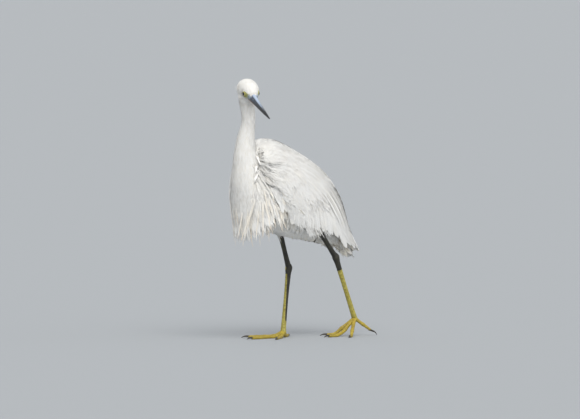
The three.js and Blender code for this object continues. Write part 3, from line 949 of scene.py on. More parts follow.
class Coat:
    """Many feathers in one mesh."""

    def __init__(self):
        self.points, self.loops, self.sizes, self.vane, self.bake, self.tone = [], [], [], [], [], []
        self.normals = []
        self.count = 0

    def add(self, points, faces, cells, normals, places, tones, patch):
        """points: feathers by corners by 3. faces: one feather's faces.
        cells: one feather's corners on its vane. normals: which way each corner of each face looks,
        so that neighbours shade as one soft coat."""
        many, corners, _ = points.shape
        corner = np.concatenate([np.array(f) for f in faces])
        offsets = self.count + corners * np.arange(many)
        self.points.append(points.reshape(-1, 3))
        self.loops.append((corner[None, :] + offsets[:, None]).ravel())
        self.sizes.append(np.tile([len(f) for f in faces], many))
        vane = np.broadcast_to(cells[corner], (many, len(corner), 2))
        self.vane.append(vane.reshape(-1, 2))
        spot = (vane - 0.5) * np.reshape(patch, (-1, 1, 1)) + places[:, None, :]
        self.bake.append(spot.reshape(-1, 2))
        self.tone.append(np.repeat(tones, corners))
        self.normals.append(normals.reshape(-1, 3))
        self.count += many * corners

    def make(self, name):
        mesh = bpy.data.meshes.new(name)
        points = placed(np.concatenate(self.points))
        loops = np.concatenate(self.loops)
        sizes = np.concatenate(self.sizes)
        mesh.vertices.add(len(points))
        mesh.vertices.foreach_set("co", points.ravel())
        mesh.loops.add(len(loops))
        mesh.loops.foreach_set("vertex_index", loops.astype(np.int32))
        mesh.polygons.add(len(sizes))
        mesh.polygons.foreach_set("loop_start", np.concatenate([[0], np.cumsum(sizes)[:-1]]).astype(np.int32))
        mesh.update(calc_edges=True)
        for key, values in (("OFBake", self.bake), ("vane", self.vane)):
            layer = mesh.uv_layers.new(name=key)
            layer.data.foreach_set("uv", np.concatenate(values).astype(np.float32).ravel())
        tone = mesh.attributes.new("tone", "FLOAT", "POINT")
        tone.data.foreach_set("value", np.concatenate(self.tone).astype(np.float32))
        piece = bpy.data.objects.new(name, mesh)
        bpy.context.scene.collection.objects.link(piece)
        mesh.shade_smooth()
        mesh.normals_split_custom_set(np.concatenate(self.normals).astype(np.float32))
        return piece


def vane_faces(columns, rows):
    """The faces of a closed vane, two sheets that share their border, and each corner's place on it."""
    top = np.arange(columns * rows).reshape(rows, columns)
    under = top.copy()
    inner = (rows - 2) * (columns - 2)
    under[1:-1, 1:-1] = columns * rows + np.arange(inner).reshape(rows - 2, columns - 2)
    faces = []
    for sheet, turned in ((top, True), (under, False)):
        for r in range(rows - 1):
            for c in range(columns - 1):
                a, b, d, e = sheet[r, c], sheet[r, c + 1], sheet[r + 1, c + 1], sheet[r + 1, c]
                # Both sheets are cut along the same diagonal, or one would show through the other.
                halves = ([a, b, d], [a, d, e]) if 2 * c + 1 < columns - 1 else ([a, b, e], [b, d, e])
                faces += [half[::-1] if turned else half for half in halves]
    return faces


def add_vanes(
    coat, shafts, normals, half_widths, places, tones, seed, spine, thick, camber, slant, ragged, patch=PATCH,
    tilt=0.0, puff=0.12
):
    """Adds feathers. Each has a shaft and normals by rows, and half a width by rows.
    spine lists the places of its columns from -1 to 1, slant sweeps the barbs to the tip,
    and ragged frays its border."""
    spine = np.array(spine)
    many, rows, _ = shafts.shape
    columns = len(spine)
    rng = np.random.default_rng(seed)
    along = unit(np.gradient(shafts, axis=1))
    side = unit(np.cross(normals, along))
    normal = unit(np.cross(along, side))
    wide = np.broadcast_to(half_widths, (many, rows))
    u = spine[None, None, :, None]
    w = wide[:, :, None, None]
    fray = 1 + ragged * (rng.random((many, rows, columns, 1)) - 0.5) * (np.abs(u) > 0.9)
    across = u * w * fray
    back = slant * np.abs(u) * w * fray
    drop = camber * np.abs(u) ** 1.6 * w + tilt * u
    shaft_at, side_at, along_at, normal_at = (x[:, :, None, :] for x in (shafts, side, along, normal))
    base = shaft_at + side_at * across + along_at * back - normal_at * drop
    body = thick * (1 - 0.75 * np.abs(u))
    shares = toward_tip(rows)
    taper = mix(1, 0.45, shares)[None, :, None, None]
    top = base + normal_at * body * taper
    under = base - normal_at * body * taper
    rim = np.zeros((rows, columns), bool)
    rim[0] = rim[-1] = True
    rim[:, 0] = rim[:, -1] = True
    top[:, rim] = base[:, rim]
    points = np.concatenate([top.reshape(many, -1, 3), under[:, ~rim].reshape(many, -1, 3)], axis=1)
    cells = np.stack(np.broadcast_arrays((spine[None, :] + 1) / 2, shares[:, None]), axis=-1)
    cells = np.concatenate([cells.reshape(-1, 2), cells[~rim].reshape(-1, 2)])
    faces = vane_faces(columns, rows)
    corner = np.concatenate([np.array(f) for f in faces])
    upper = unit(normal_at + side_at * u * puff)
    rim_way = side_at * u + along_at * (shares[None, :, None, None] > 0.9) + 0.5 * normal_at
    under_grid = np.where(rim[None, :, :, None], unit(rim_way), -upper)
    half = len(corner) // 2
    spot = np.arange(columns * rows).reshape(rows, columns)
    inner = np.concatenate([np.arange(columns * rows), spot[~rim]])
    facing = np.concatenate(
        [
            upper.reshape(many, -1, 3)[:, corner[:half]],
            under_grid.reshape(many, -1, 3)[:, inner[corner[half:]]],
        ],
        axis=1,
    )
    coat.add(points, faces, cells, facing, places, tones, patch)


def add_strands(coat, shafts, radii, outward, places, tones, soft, flat, sides=3):
    """Adds fine strands: thin rods that end in a point. soft is how far they shade as the coat round them,
    and flat is how thick they are for their width."""
    many, rows, _ = shafts.shape
    along = unit(np.gradient(shafts, axis=1))
    across = unit(np.cross(along, outward))
    normal = np.cross(across, along)
    turn = np.arange(sides) * math.tau / sides + math.pi / 2
    r = np.broadcast_to(radii, (many, rows))[:, :-1, None, None]
    ring = (
        shafts[:, :-1, None, :]
        + across[:, :-1, None, :] * np.cos(turn)[None, None, :, None] * r
        + normal[:, :-1, None, :] * np.sin(turn)[None, None, :, None] * r * flat
    )
    points = np.concatenate([ring.reshape(many, -1, 3), shafts[:, -1:, :]], axis=1)
    faces = [list(range(sides))]
    for k in range(rows - 2):
        for s in range(sides):
            a, b = k * sides + s, k * sides + (s + 1) % sides
            faces.append([a + sides, b + sides, b, a])
    last = (rows - 2) * sides
    for s in range(sides):
        faces.append([(rows - 1) * sides, last + (s + 1) % sides, last + s])
    v = np.repeat(np.linspace(0, 1, rows)[:-1], sides)
    u = np.tile(np.linspace(0.2, 0.8, sides), rows - 1)
    cells = np.vstack([np.stack([u, v], axis=1), [[0.5, 1.0]]])
    corner = np.concatenate([np.array(f) for f in faces])
    round_it = unit(ring - shafts[:, :-1, None, :]).reshape(many, -1, 3)
    round_it = np.concatenate([round_it, outward[:, -1:, :]], axis=1)
    out = np.concatenate([np.repeat(outward[:, :-1], sides, axis=1), outward[:, -1:]], axis=1)
    facing = unit(mix(round_it, out, soft))
    coat.add(points, faces, cells, facing[:, corner], places, tones, PATCH)


def unwrapped(regions, stations, turns):
    """Places on an unwrap of the skin: a band for each region, the turn across it and the station up it."""
    low = np.array([UNWRAP[r][0] for r in regions])
    high = np.array([UNWRAP[r][1] for r in regions])
    return np.stack([mix(low, high, np.clip(stations, 0, 1)), 0.02 + 0.96 * (turns / math.tau % 1)], axis=1)


def rounded(v, tip):
    return np.minimum(1, 0.4 + 2.4 * v) * np.sqrt(np.maximum(0.02, 1 - v**tip))


def pointed(v):
    return np.minimum(1, 0.5 + 1.8 * v) * np.maximum(0.06, 1 - v**1.7)


def oval(v):
    return np.minimum(1, 0.5 + 2.2 * v) * np.maximum(0.1, 1 - v**2.6)


def settle(v):
    """How high a feather stands along its length, as a share of the coat's depth."""
    return -0.12 + 1.12 * (1 - (1 - v) ** 2.6)


# The columns of a vane, from -1 to 1 across it, and the make of the feathers that most of the coat has.
SMALL_SPINE = (-1, -0.5, 0, 0.5, 1)
FLIGHT_SPINE = (-1, -0.8, -0.45, -0.06, 0, 0.06, 0.45, 0.8, 1)
SMALL_VANE = {"spine": SMALL_SPINE, "thick": 0.08, "camber": 0.05, "slant": 0.5, "ragged": 0.3}


# How the small feathers change over the coat, by region and from one end of it to the other.
# length, half width, depth at the tip and spacing, each from station 0 to station 1.
SMALL = {
    "head": ((10, 5.5), (1.4, 0.9), (1.5, 0.9), (1.35, 1.0)),
    "neck": ((36, 11), (3.0, 1.5), (4.2, 2.1), (2.8, 1.5)),
    "torso": ((19, 22), (2.5, 3.2), (4.4, 4.0), (2.4, 2.9)),
    "thigh": ((18, 14), (2.8, 2.0), (3.8, 2.8), (2.5, 2.2)),
    "wing": ((26, 26), (4.2, 4.6), (2.6, 2.5), (3.0, 3.3)),
}


def sizes_from(table, regions, stations):
    """The four sizes of each feather, from its region and station."""
    names = list(table)
    rows = np.array([[table[name][k][end] for k in range(4) for end in range(2)] for name in names])
    rows = rows[[names.index(r) for r in regions]]
    t = np.clip(stations, 0, 1)[:, None]
    return mix(rows[:, 0::2], rows[:, 1::2], t)


LORE = {"from": 2.5, "to": 16.5, "low": -7.5, "high": 3.2}


def near_face(points):
    """True where a point is on the bare skin round the eye and before it."""
    local = points - HEAD_MIDDLE
    f, u = local @ head_forward, local @ head_up
    bare = (f > LORE["from"]) & (f < LORE["to"])
    bare &= (u > LORE["low"] + 0.16 * f) & (u < LORE["high"] - 0.12 * f)
    for side in (1, -1):
        bare |= np.linalg.norm(points - eye_middle(side) - 1.5 * eye_look(side), axis=1) < 5.0
    return (bare | (f > LORE["to"] + 0.5)) & (np.linalg.norm(local, axis=1) < 45)


WING_ROOM = 7.0
WING_NEAR = 6.0


def wing_places():
    """A tree of places all over both wings' own surface."""
    along, share = np.meshgrid(np.linspace(0.045, 0.88, 90), np.linspace(0, 1, 40))
    down = mix(6, wing_edge(along.ravel()) - 9, share.ravel())
    points = [wing_point(along.ravel(), down, -COAT_DEPTH["wing"], side) for side in (1, -1)]
    points = np.vstack(points)
    tree = KDTree(len(points))
    for i, p in enumerate(points):
        tree.insert(p, i)
    tree.balance()
    return tree


wing_tree = wing_places()


def under_wing_feathers(points):
    """True on the wings, whose feathers are laid on their own form."""
    near = np.array([wing_tree.find(p)[2] < WING_NEAR for p in points])
    return near & (np.abs(points[:, 0]) > WING_ROOM)


def skin_looks(points):
    """Which way the skin looks at each point."""
    return np.array([nearest(p)[1][:] for p in points])


def turned_down(ways, roots):
    """The ways, turned downward where the skin looks along them, as on the front of a shoulder."""
    steep = smooth_step(0.35, 0.75, np.abs(dot(ways, skin_looks(roots)))).reshape(-1, 1)
    return unit(ways * (1 - 0.85 * steep) - UP * steep)


STEEPEST = 0.75


def can_lie(ways, roots):
    """False where the skin looks the way that a feather would run, as on a sharp border."""
    return np.abs(dot(ways, skin_looks(roots)))[:, 0] < STEEPEST


# How far above the skin of each region something else has to be for a feather to grow there.
ROOM = {"head": 2.5, "neck": 3.0, "torso": 7.0, "thigh": 7.0, "wing": 7.0}


def in_the_dark(points, normals, regions):
    """True where something lies close above the skin, as under a folded wing."""
    hidden = np.zeros(len(points), bool)
    for i, (p, n) in enumerate(zip(points, normals)):
        hit = skin_tree.ray_cast(Vector(p + n * 1.2), Vector(n), ROOM[regions[i]])
        hidden[i] = hit[0] is not None
    return hidden


def rooted(table, regions_wanted, seed):
    """Places all over some regions, spaced as a table says: each with its way, its region, station and turn,
    and its sizes."""

    def spacing_at(points):
        _, regions, stations, _ = lie.read(points, 3)
        wanted = np.isin(regions, regions_wanted) & ~under_wing_feathers(points)
        return np.where(wanted, sizes_from(table, regions, stations)[:, 3] * THIN, 0)

    roots = scatter(spacing_at, seed)
    ways, *spot = lie.read(roots)
    ways = np.where((spot[0] == "thigh")[:, None], ways, turned_down(ways, roots))
    keep = ~near_face(roots) & can_lie(ways, roots)
    spot = [x[keep] for x in spot]
    return roots[keep], ways[keep], spot, sizes_from(table, spot[0], spot[1])


def in_the_open(shafts, normals, sizes, spot):
    """Those of the feathers whose roots aren't in the dark."""
    seen = ~in_the_dark(shafts[:, 0], normals[:, 0], spot[0])
    return shafts[seen], normals[seen], sizes[seen], [x[seen] for x in spot]


def raised(shafts, normals, lift):
    return shafts + normals * lift[:, :, None]


def coat_of(name, regions_wanted, seed, rows):
    """All small feathers of some regions, as one piece."""
    roots, ways, spot, sizes = rooted(SMALL, regions_wanted, seed)
    rng = np.random.default_rng(seed + 1)
    # Finer feathers in the crease between the neck and the shoulders
    crease = (spot[0] == "torso") * smooth_step(-82, -98, roots[:, 1])
    sizes[:, :2] = sizes[:, :2] * mix(1, 0.5, crease)[:, None]
    lengths = sizes[:, 0] * rng.uniform(0.85, 1.15, len(roots))
    ways = unit(ways + rng.normal(0, 0.07, ways.shape))
    v = toward_tip(rows)
    shafts, normals, sizes, spot = in_the_open(*creep(roots, ways, lengths, v), sizes, spot)
    many = len(shafts)
    lift = sizes[:, 2][:, None] * settle(v)[None, :] * rng.uniform(0.95, 1.03, (many, 1))
    halves = sizes[:, 1][:, None] * oval(v)[None, :] * rng.uniform(0.85, 1.15, (many, 1))
    shafts = raised(shafts, normals, lift)
    coat = Coat()
    add_vanes(coat, shafts, normals, halves, unwrapped(*spot), rng.random(many), seed, **SMALL_VANE)
    return coat.make(name)


# Fine barbs over the small feathers: length, radius, height over the skin and spacing, from station 0 to 1.
SILK = {
    "head": ((8, 4), (0.42, 0.3), (1.6, 0.98), (1.2, 0.85)),
    "neck": ((20, 8), (0.8, 0.5), (4.5, 2.35), (1.75, 1.15)),
    "torso": ((20, 16), (0.8, 0.75), (4.8, 4.2), (2.3, 2.3)),
    "thigh": ((12, 9), (0.6, 0.55), (3.9, 2.9), (1.9, 1.8)),
    "wing": ((18, 18), (0.8, 0.8), (2.8, 2.7), (2.4, 2.6)),
}


SILK_ROWS = 5


def spindle(v):
    """A barb's girth along its length: thin at its root, thinnest at its tip."""
    return np.minimum(1, 0.25 + 3.0 * v) * mix(1, 0.5, v)


def lay_silk(coat, shafts, normals, radii, spots, rng):
    many, rows, _ = shafts.shape
    girth = radii * spindle(np.linspace(0, 1, rows))[None, :] * rng.uniform(0.55, 1.15, (many, 1))
    add_strands(coat, shafts, girth, normals, spots, rng.random(many), soft=0.92, flat=0.14)


def silk_of(name, regions_wanted, seed):
    """Fine barbs that follow the lie over the small feathers, and soften them."""
    roots, ways, spot, sizes = rooted(SILK, regions_wanted, seed)
    rng = np.random.default_rng(seed + 1)
    ways = unit(ways + rng.normal(0, 0.12, ways.shape))
    v = np.linspace(0, 1, SILK_ROWS)
    lengths = sizes[:, 0] * rng.uniform(0.7, 1.3, len(roots))
    shafts, normals, sizes, spot = in_the_open(*creep(roots, ways, lengths, v), sizes, spot)
    lift = sizes[:, 2][:, None] * mix(0.88, 1.05, v)[None, :] * rng.uniform(0.97, 1.04, (len(shafts), 1))
    coat = Coat()
    lay_silk(coat, raised(shafts, normals, lift), normals, sizes[:, 1][:, None], unwrapped(*spot), rng)
    return coat.make(name)


# ---------------------------------------------------------------- wings and tail

# Tiers of the folded wing, inner layer first, each from its lowest feather to its highest.
# Roots and tips are (along, down) places of the first and the last feather, and widths are whole.
WING_TIERS = {
    "primaries": (9, ((0.56, 80), (0.62, 44)), ((0.88, 96), (1.02, 46)), (15, 13)),
    "secondaries": (21, ((0.26, 96), (0.5, 58)), ((0.38, 124), (0.93, 84)), (13, 13)),
    "tertials": (17, ((0.27, 56), (0.34, 3)), ((0.78, 84), (0.97, 6)), (18, 17)),
    "greater_coverts": (22, ((0.14, 92), (0.31, 46)), ((0.27, 116), (0.6, 66)), (11.5, 12)),
    "scapulars": (17, ((0.12, 56), (0.2, 2)), ((0.46, 62), (0.6, 2)), (13, 14)),
    "median_coverts": (22, ((0.06, 88), (0.24, 36)), ((0.2, 110), (0.47, 56)), (9.5, 10)),
}
# How blunt the feathers of each tier end.
TIER_TIPS = {
    "primaries": 3.4,
    "secondaries": 3.0,
    "tertials": 3.0,
    "greater_coverts": 2.2,
    "scapulars": 2.0,
    "median_coverts": 2.0,
}


def add_wing(coat, side, seed):
    rng = np.random.default_rng(seed)
    rows = 15
    v = toward_tip(rows)
    for layer, (name, (count, roots, tips, widths)) in enumerate(WING_TIERS.items()):
        k = np.linspace(0, 1, count)[:, None]
        roots, tips = np.array(roots, float), np.array(tips, float)
        first = mix(roots[0], roots[1], k)
        last = mix(tips[0], tips[1], k) + rng.normal(0, [0.008, 0.9], (count, 2))
        place = straight(first, last, v)
        lift = mix(-4.2, 0.9, settle(v))[None, :] + rng.normal(0, 0.06, (count, 1))
        shafts = wing_point(place[..., 0], place[..., 1], lift, side)
        normals = unit(wing_point(place[..., 0], place[..., 1], lift + 3, side) - shafts)
        halves = mix(widths[0], widths[1], k) / 2 * rounded(v, TIER_TIPS[name])[None, :]
        spots = np.stack([np.full(count, (layer + 0.5) / len(WING_TIERS)), 0.04 + 0.92 * k[:, 0]], axis=1)
        add_vanes(
            coat, shafts, normals, halves, spots, rng.random(count), spine=FLIGHT_SPINE, thick=0.16,
            camber=0.04, slant=0.5, ragged=0.12, seed=seed + layer, patch=0.05, tilt=0.26 * side
        )


# Small feathers of the wing: places from along and down, lengths, half widths and the gaps between them.
COVERTS = {
    "from": -0.03,
    "to": 0.5,
    "down_from": 0.5,
    "down_to": 118,
    "length": (15, 27),
    "half": (3.4, 4.6),
    "along_gap": 0.0115,
    "down_gap": 3.1,
}
WING_LENGTH = 262.0
WING_DEGREE = 1.06


def wing_strokes(side, along, down, length, heading, lifts, rows):
    """Shafts and normals that run over the wing from each place, heading down by so many degrees."""
    v = toward_tip(rows)
    over = length[:, None] * v[None, :] * np.cos(heading)[:, None] / WING_LENGTH
    below = length[:, None] * v[None, :] * np.sin(heading)[:, None] / WING_DEGREE
    place = along[:, None] + over, down[:, None] + below
    shafts = wing_point(*place, lifts, side)
    return shafts, unit(wing_point(*place, lifts + 3, side) - shafts)


LEAST_OUTWARD = 0.35


def looks_outward(shafts, normals):
    """True for the strokes whose normals agree with the skin under their middles."""
    middle = shafts.shape[1] // 2
    return dot(normals[:, middle], skin_looks(shafts[:, middle])).ravel() > LEAST_OUTWARD


def wing_heading(along, down):
    return np.radians(10 + 34 * smooth_step(20, 105, down) * smooth_step(0.6, 0.1, along))


def wing_spots(along, down):
    low, high = UNWRAP["wing"]
    return np.stack([mix(low, high, np.clip(along, 0, 1)), np.clip(down / 130, 0.02, 0.98)], axis=1)


def coverts_end(down):
    """How far along the small coverts reach: further on the back than at the wing's edge."""
    return mix(COVERTS["to"], 0.36, smooth_step(30, 100, down))


def make_coverts(name, side, seed):
    """The small coverts of a wing, row by row, each row set over the next."""
    rng = np.random.default_rng(seed)
    along = np.arange(COVERTS["from"], COVERTS["to"], COVERTS["along_gap"] * THIN)
    down = np.arange(COVERTS["down_from"], COVERTS["down_to"], COVERTS["down_gap"] * THIN)
    a, d = np.meshgrid(along, down, indexing="ij")
    d = d + (np.arange(len(along)) % 2)[:, None] * COVERTS["down_gap"] * THIN / 2
    a = (a + rng.normal(0, 0.0022, a.shape)).ravel()
    d = (d + rng.normal(0, 0.7, d.shape)).ravel()
    keep = (d < wing_edge(np.clip(a, 0, 1)) - 4) & (a < coverts_end(d))
    a, d = a[keep], d[keep]
    share = np.clip((a - COVERTS["from"]) / (COVERTS["to"] - COVERTS["from"]), 0, 1)
    length = mix(*COVERTS["length"], share) * rng.uniform(0.88, 1.12, len(a))
    half = mix(*COVERTS["half"], share) * rng.uniform(0.88, 1.12, len(a))
    rows = 6
    v = toward_tip(rows)
    lifts = mix(-4.2, 0.9, settle(v))[None, :] + rng.normal(0, 0.08, (len(a), 1))
    heading = wing_heading(a, d) + rng.normal(0, 0.05, len(a))
    shafts, normals = wing_strokes(side, a, d, length, heading, lifts, rows)
    keep = looks_outward(shafts, normals)
    shafts, normals, half, a, d = shafts[keep], normals[keep], half[keep], a[keep], d[keep]
    coat = Coat()
    halves = half[:, None] * oval(v)[None, :]
    add_vanes(coat, shafts, normals, halves, wing_spots(a, d), rng.random(len(a)), seed, **SMALL_VANE)
    return coat.make(name)


# Feathers along the middle of the back, where the wings meet: spacing, length and half width.
SPINE_ROW = {"from": 0.0, "to": 0.86, "gap": 0.02, "downs": (-6, -2, 2, 6), "length": 34, "half": 4.6}


def make_spine_feathers():
    """Feathers that lie along the middle of the back, over the line where both wings meet."""
    rng = np.random.default_rng(71)
    along = np.arange(SPINE_ROW["from"], SPINE_ROW["to"], SPINE_ROW["gap"])
    a, d = (x.ravel() for x in np.meshgrid(along, np.array(SPINE_ROW["downs"], float), indexing="ij"))
    a = a + rng.normal(0, 0.004, len(a))
    d = d + rng.normal(0, 0.8, len(d))
    rows = 7
    v = toward_tip(rows)
    lifts = mix(-3.5, 1.5, settle(v))[None, :] + rng.normal(0, 0.1, (len(a), 1))
    length = SPINE_ROW["length"] * rng.uniform(0.85, 1.15, len(a))
    shafts, normals = wing_strokes(1, a, d, length, rng.normal(0, 0.05, len(a)), lifts, rows)
    coat = Coat()
    halves = SPINE_ROW["half"] * rng.uniform(0.9, 1.1, (len(a), 1)) * oval(v)[None, :]
    spots = wing_spots(a, np.abs(d))
    vane = {**SMALL_VANE, "camber": 0.08}
    add_vanes(coat, shafts, normals, halves, spots, rng.random(len(a)), 72, **vane)
    return coat.make("back_feathers")


def make_wing_silk(name, side, seed):
    """Fine barbs over a wing's small coverts."""
    rng = np.random.default_rng(seed)
    many = 7000
    a = rng.uniform(COVERTS["from"], COVERTS["to"] + 0.3, many)
    d = rng.uniform(-3, 122, many)
    fade = rng.random(many)
    keep = (d < wing_edge(np.clip(a, 0, 1)) - 3) & (a < coverts_end(d) + 0.04 + 0.26 * fade**2)
    a, d = a[keep], d[keep]
    rows = 4
    v = toward_tip(rows)
    lifts = mix(0.75, 1.35, v)[None, :] + rng.normal(0, 0.07, (len(a), 1))
    heading = wing_heading(a, d) + rng.normal(0, 0.12, len(a))
    shafts, normals = wing_strokes(side, a, d, rng.uniform(12, 24, len(a)), heading, lifts, rows)
    coat = Coat()
    lay_silk(coat, shafts, normals, np.full((len(a), 1), 0.8), wing_spots(a, d), rng)
    return coat.make(name)


TAIL = {"root": (0, 52, 173), "tip": (0, 114, 123), "spread": 7, "width": 16, "count": 7}


def add_tail(coat):
    rng = np.random.default_rng(31)
    count, rows = TAIL["count"], 15
    k = np.linspace(-1, 1, count)
    v = toward_tip(rows)
    root, tip = np.array(TAIL["root"], float), np.array(TAIL["tip"], float)
    back = unit(tip - root)
    rise = unit(np.cross([1.0, 0, 0], back))
    rise = rise if rise[2] > 0 else -rise
    across = k[:, None] * mix(5, TAIL["spread"], v)[None, :]
    line = root + (tip - root) * v[:, None]
    hump = 4 * v * (1 - v)
    arch = (hump[None, :] - 3 * np.abs(k)[:, None])[..., None]
    shafts = line[None] + across[..., None] * [1.0, 0, 0] + rise * arch
    normals = np.broadcast_to(unit(rise + 0.3 * k[:, None] * [1.0, 0, 0])[:, None, :], shafts.shape)
    halves = (TAIL["width"] * mix(1, 0.8, np.abs(k)) / 2)[:, None] * rounded(v, 2.6)[None, :]
    spots = np.stack([np.full(count, 0.5), 0.04 + 0.92 * np.linspace(0, 1, count)], axis=1)
    add_vanes(
        coat, shafts, normals, halves, spots, rng.random(count), spine=FLIGHT_SPINE, thick=0.3, camber=0.18,
        slant=0.5, ragged=0.14, seed=31, patch=0.05, tilt=0.25
    )


# ---------------------------------------------------------------- breast plumes

# Plumes that the photograph shows one by one, in pixels:
# where each leaves the breast and where its tip hangs.
PLUME_PIXELS = {
    "front": ((243, 208), (236.8, 243.3)),
    "long": ((257, 192), (242.5, 245.6)),
    "long_fork": ((255, 200), (240.5, 243)),
    "side_1": ((260, 206), (255.6, 237.9)),
    "side_2": ((262, 194), (262.8, 235.6)),
    "side_3": ((263, 196), (271, 231)),
    "side_4": ((265, 190), (276, 228)),
    "side_5": ((268, 190), (273.5, 203)),
    "side_6": ((262, 186), (267, 214)),
}
# Rows round the foot of the neck:
# count, station, the turn from the front where they begin and end, drop and width.
CURTAIN_ROWS = (
    (44, 0.01, 0, 112, 36, 4.2), (46, 0.05, 0, 114, 42, 4.2), (48, 0.09, 0, 116, 46, 4.0),
    (48, 0.13, 0, 116, 48, 3.8), (48, 0.17, 0, 116, 46, 3.6)
)
PLUME_ROWS = (
    (18, 0.03, 0, 104, 46, 5),
    (18, 0.08, 0, 104, 56, 5),
    (14, 0.13, 0, 104, 62, 5),
)
SIDE_ROWS = (
    (20, 0.18, 40, 118, 56, 4.5), (22, 0.24, 46, 124, 54, 4.5), (24, 0.30, 52, 130, 50, 4),
    (24, 0.36, 58, 134, 44, 4), (20, 0.42, 64, 136, 36, 3.5)
)


BREAST_MIDDLE = np.array([0.0, -70, 0])


def add_locks(coat, paths, widths, strands, seed, places, thick):
    """Each path becomes a lock: fine flat strands that start side by side and end close together."""
    rng = np.random.default_rng(seed)
    many, rows, _ = paths.shape
    along = unit(np.gradient(paths, axis=1))
    outward = unit(paths - BREAST_MIDDLE)
    outward[..., 2] = 0
    across = unit(np.cross(along, outward))
    normal = np.cross(across, along)
    v = np.linspace(0, 1, rows)
    for s in range(strands):
        offset = ((s + 0.5) / strands * 2 - 1) + rng.normal(0, 0.12, (many, 1))
        gather = (1 - v**1.3)[None, :] * 0.85 + 0.15
        wave = 0.3 * np.sin(rng.uniform(0, 6, (many, 1)) + v[None, :] * rng.uniform(2, 6, (many, 1)))
        aside = (offset * gather + wave * v[None, :]) * widths[:, None] / 2
        shorter = np.where(rng.random((many, 1, 1)) < 0.35, 1.0, rng.uniform(0.62, 0.97, (many, 1, 1)))
        reach = v[None, :, None] * shorter * (rows - 1)
        low = np.clip(np.floor(reach).astype(int), 0, rows - 2)
        part = reach - low
        index = np.arange(many)[:, None]
        path = paths[index, low[..., 0]] * (1 - part) + paths[index, low[..., 0] + 1] * part
        rise = rng.normal(0, 0.5, (many, 1)) * np.sin(math.pi * v)[None, :]
        shaft = path + across * aside[..., None] + normal * rise[..., None]
        radii = thick * spindle(v)[None, :] * mix(1.0, 0.6, v)[None, :] * rng.uniform(0.7, 1.2, (many, 1))
        out = unit(outward * 0.8 + [0, 0, 0.15])
        add_strands(coat, shaft, radii, out, places, rng.random(many), soft=0.75, flat=0.35)


def photo_plumes():
    """Roots and tips of the plumes in PLUME_PIXELS. A plume whose root meets no skin is left out."""
    roots, tips = [], []
    for (rx, ry), (tx, ty) in PLUME_PIXELS.values():
        hit = skin_tree.ray_cast(Vector(view_place), Vector(sight(rx, ry)))[0]
        if hit is None:
            continue
        root = np.array(hit)
        roots.append(root)
        tips.append(at_depth(tx, ty, root) + view_back * 4)
    return np.array(roots), np.array(tips)


LEAN_BACK = 62.0


def hanging(rows_table, shares, seed, depth, stand):
    """Paths of rows of feathers that hang round the foot of the neck, with the way out and the place of each.
    Those at the sides lean back over the wings."""
    rng = np.random.default_rng(seed)
    made = []
    for count, station, inner, wide, drop, width in rows_table:
        k = np.linspace(-1, 1, count) + rng.normal(0, 0.012, count)
        off = np.sign(k) * mix(inner, wide, np.abs(k))
        angle = np.radians(90 - off)
        t = np.full(count, station) + rng.normal(0, 0.008, count)
        root = skin_point(NECK, t, angle, depth)
        away = skin_point(NECK, t, angle, 1) - root
        away[:, 2] = 0
        away = unit(away)
        around = np.cross(UP, away)
        length = drop * rng.uniform(0.84, 1.14, count)
        lean = np.radians(LEAN_BACK) * smooth_step(35, 110, np.abs(off)) * smooth_step(0.0, 0.25, t)
        fall = -UP * np.cos(lean)[:, None] - FORWARD * np.sin(lean)[:, None]
        fall = fall + around * rng.normal(0, 0.06, (count, 1))
        paths, outward = creep(root, unit(fall), length, shares)
        paths = paths + outward * (rng.uniform(0.85, 1.0, (count, 1)) * stand[None, :])[..., None]
        curl = rng.uniform(-1.2, 1.2, (count, 1)) * np.sin(1.5 * math.pi * shares)[None, :]
        paths = paths + around[:, None, :] * curl[..., None]
        spots = unwrapped(["neck"] * count, t, angle)
        made.append((paths, outward, width * rng.uniform(0.85, 1.15, count), spots))
    return [np.concatenate(x) for x in zip(*made)]


def make_curtain():
    """The long soft feathers of the breast, laid over each other and back over the shoulders."""
    v = toward_tip(9)
    paths, outward, widths, spots = hanging(CURTAIN_ROWS, v, 5, -1.5, mix(0.5, 4.2, smooth_step(0, 0.6, v)))
    coat = Coat()
    halves = widths[:, None] / 2 * pointed(v)[None, :]
    tones = np.random.default_rng(6).random(len(paths))
    add_vanes(
        coat, paths, outward, halves, spots, tones, spine=SMALL_SPINE, thick=0.1, camber=0.08, slant=0.6,
        ragged=0.3, seed=6, puff=0.15
    )
    return coat.make("breast_curtain")


def make_plumes():
    coat = Coat()
    rng = np.random.default_rng(7)
    v = np.linspace(0, 1, 12)
    rise = smooth_step(0, 0.35, v)
    paths, _, widths, spots = hanging(PLUME_ROWS, v, 8, -2.0, mix(1.0, 5.4, rise))
    add_locks(coat, paths, widths, 7, 17, spots, thick=0.34)
    roots, tips = photo_plumes()
    bow = rng.uniform(2, 6, (len(roots), 1, 1))
    sag = np.sin(math.pi * v)[None, :, None]
    aside = rng.uniform(-1, 3, (len(roots), 1, 1))
    paths = straight(roots, tips, v) + view_back * bow * sag + view_right * aside * sag
    paths = push_out(paths, mix(2.0, 5.8, rise))
    t = np.full(len(roots), 0.15)
    spots = unwrapped(["neck"] * len(roots), t, rng.uniform(0, math.tau, len(roots)))
    add_locks(coat, paths, np.full(len(roots), 3.2), 6, 99, spots, thick=0.42)
    return coat.make("breast_plumes")


# Rows of flank feathers that hang from under the front of the wing: first root, last root, count and length.
FLANK_ROWS = (
    ((33, -88, 214), (32, -34, 188), 15, 30),
    ((34, -88, 221), (33, -36, 196), 16, 34),
    ((35, -88, 228), (34, -38, 204), 16, 38),
    ((36, -88, 235), (35, -40, 212), 16, 40),
)
FLANK_WAY = np.array([0.0, 0.36, -0.93])


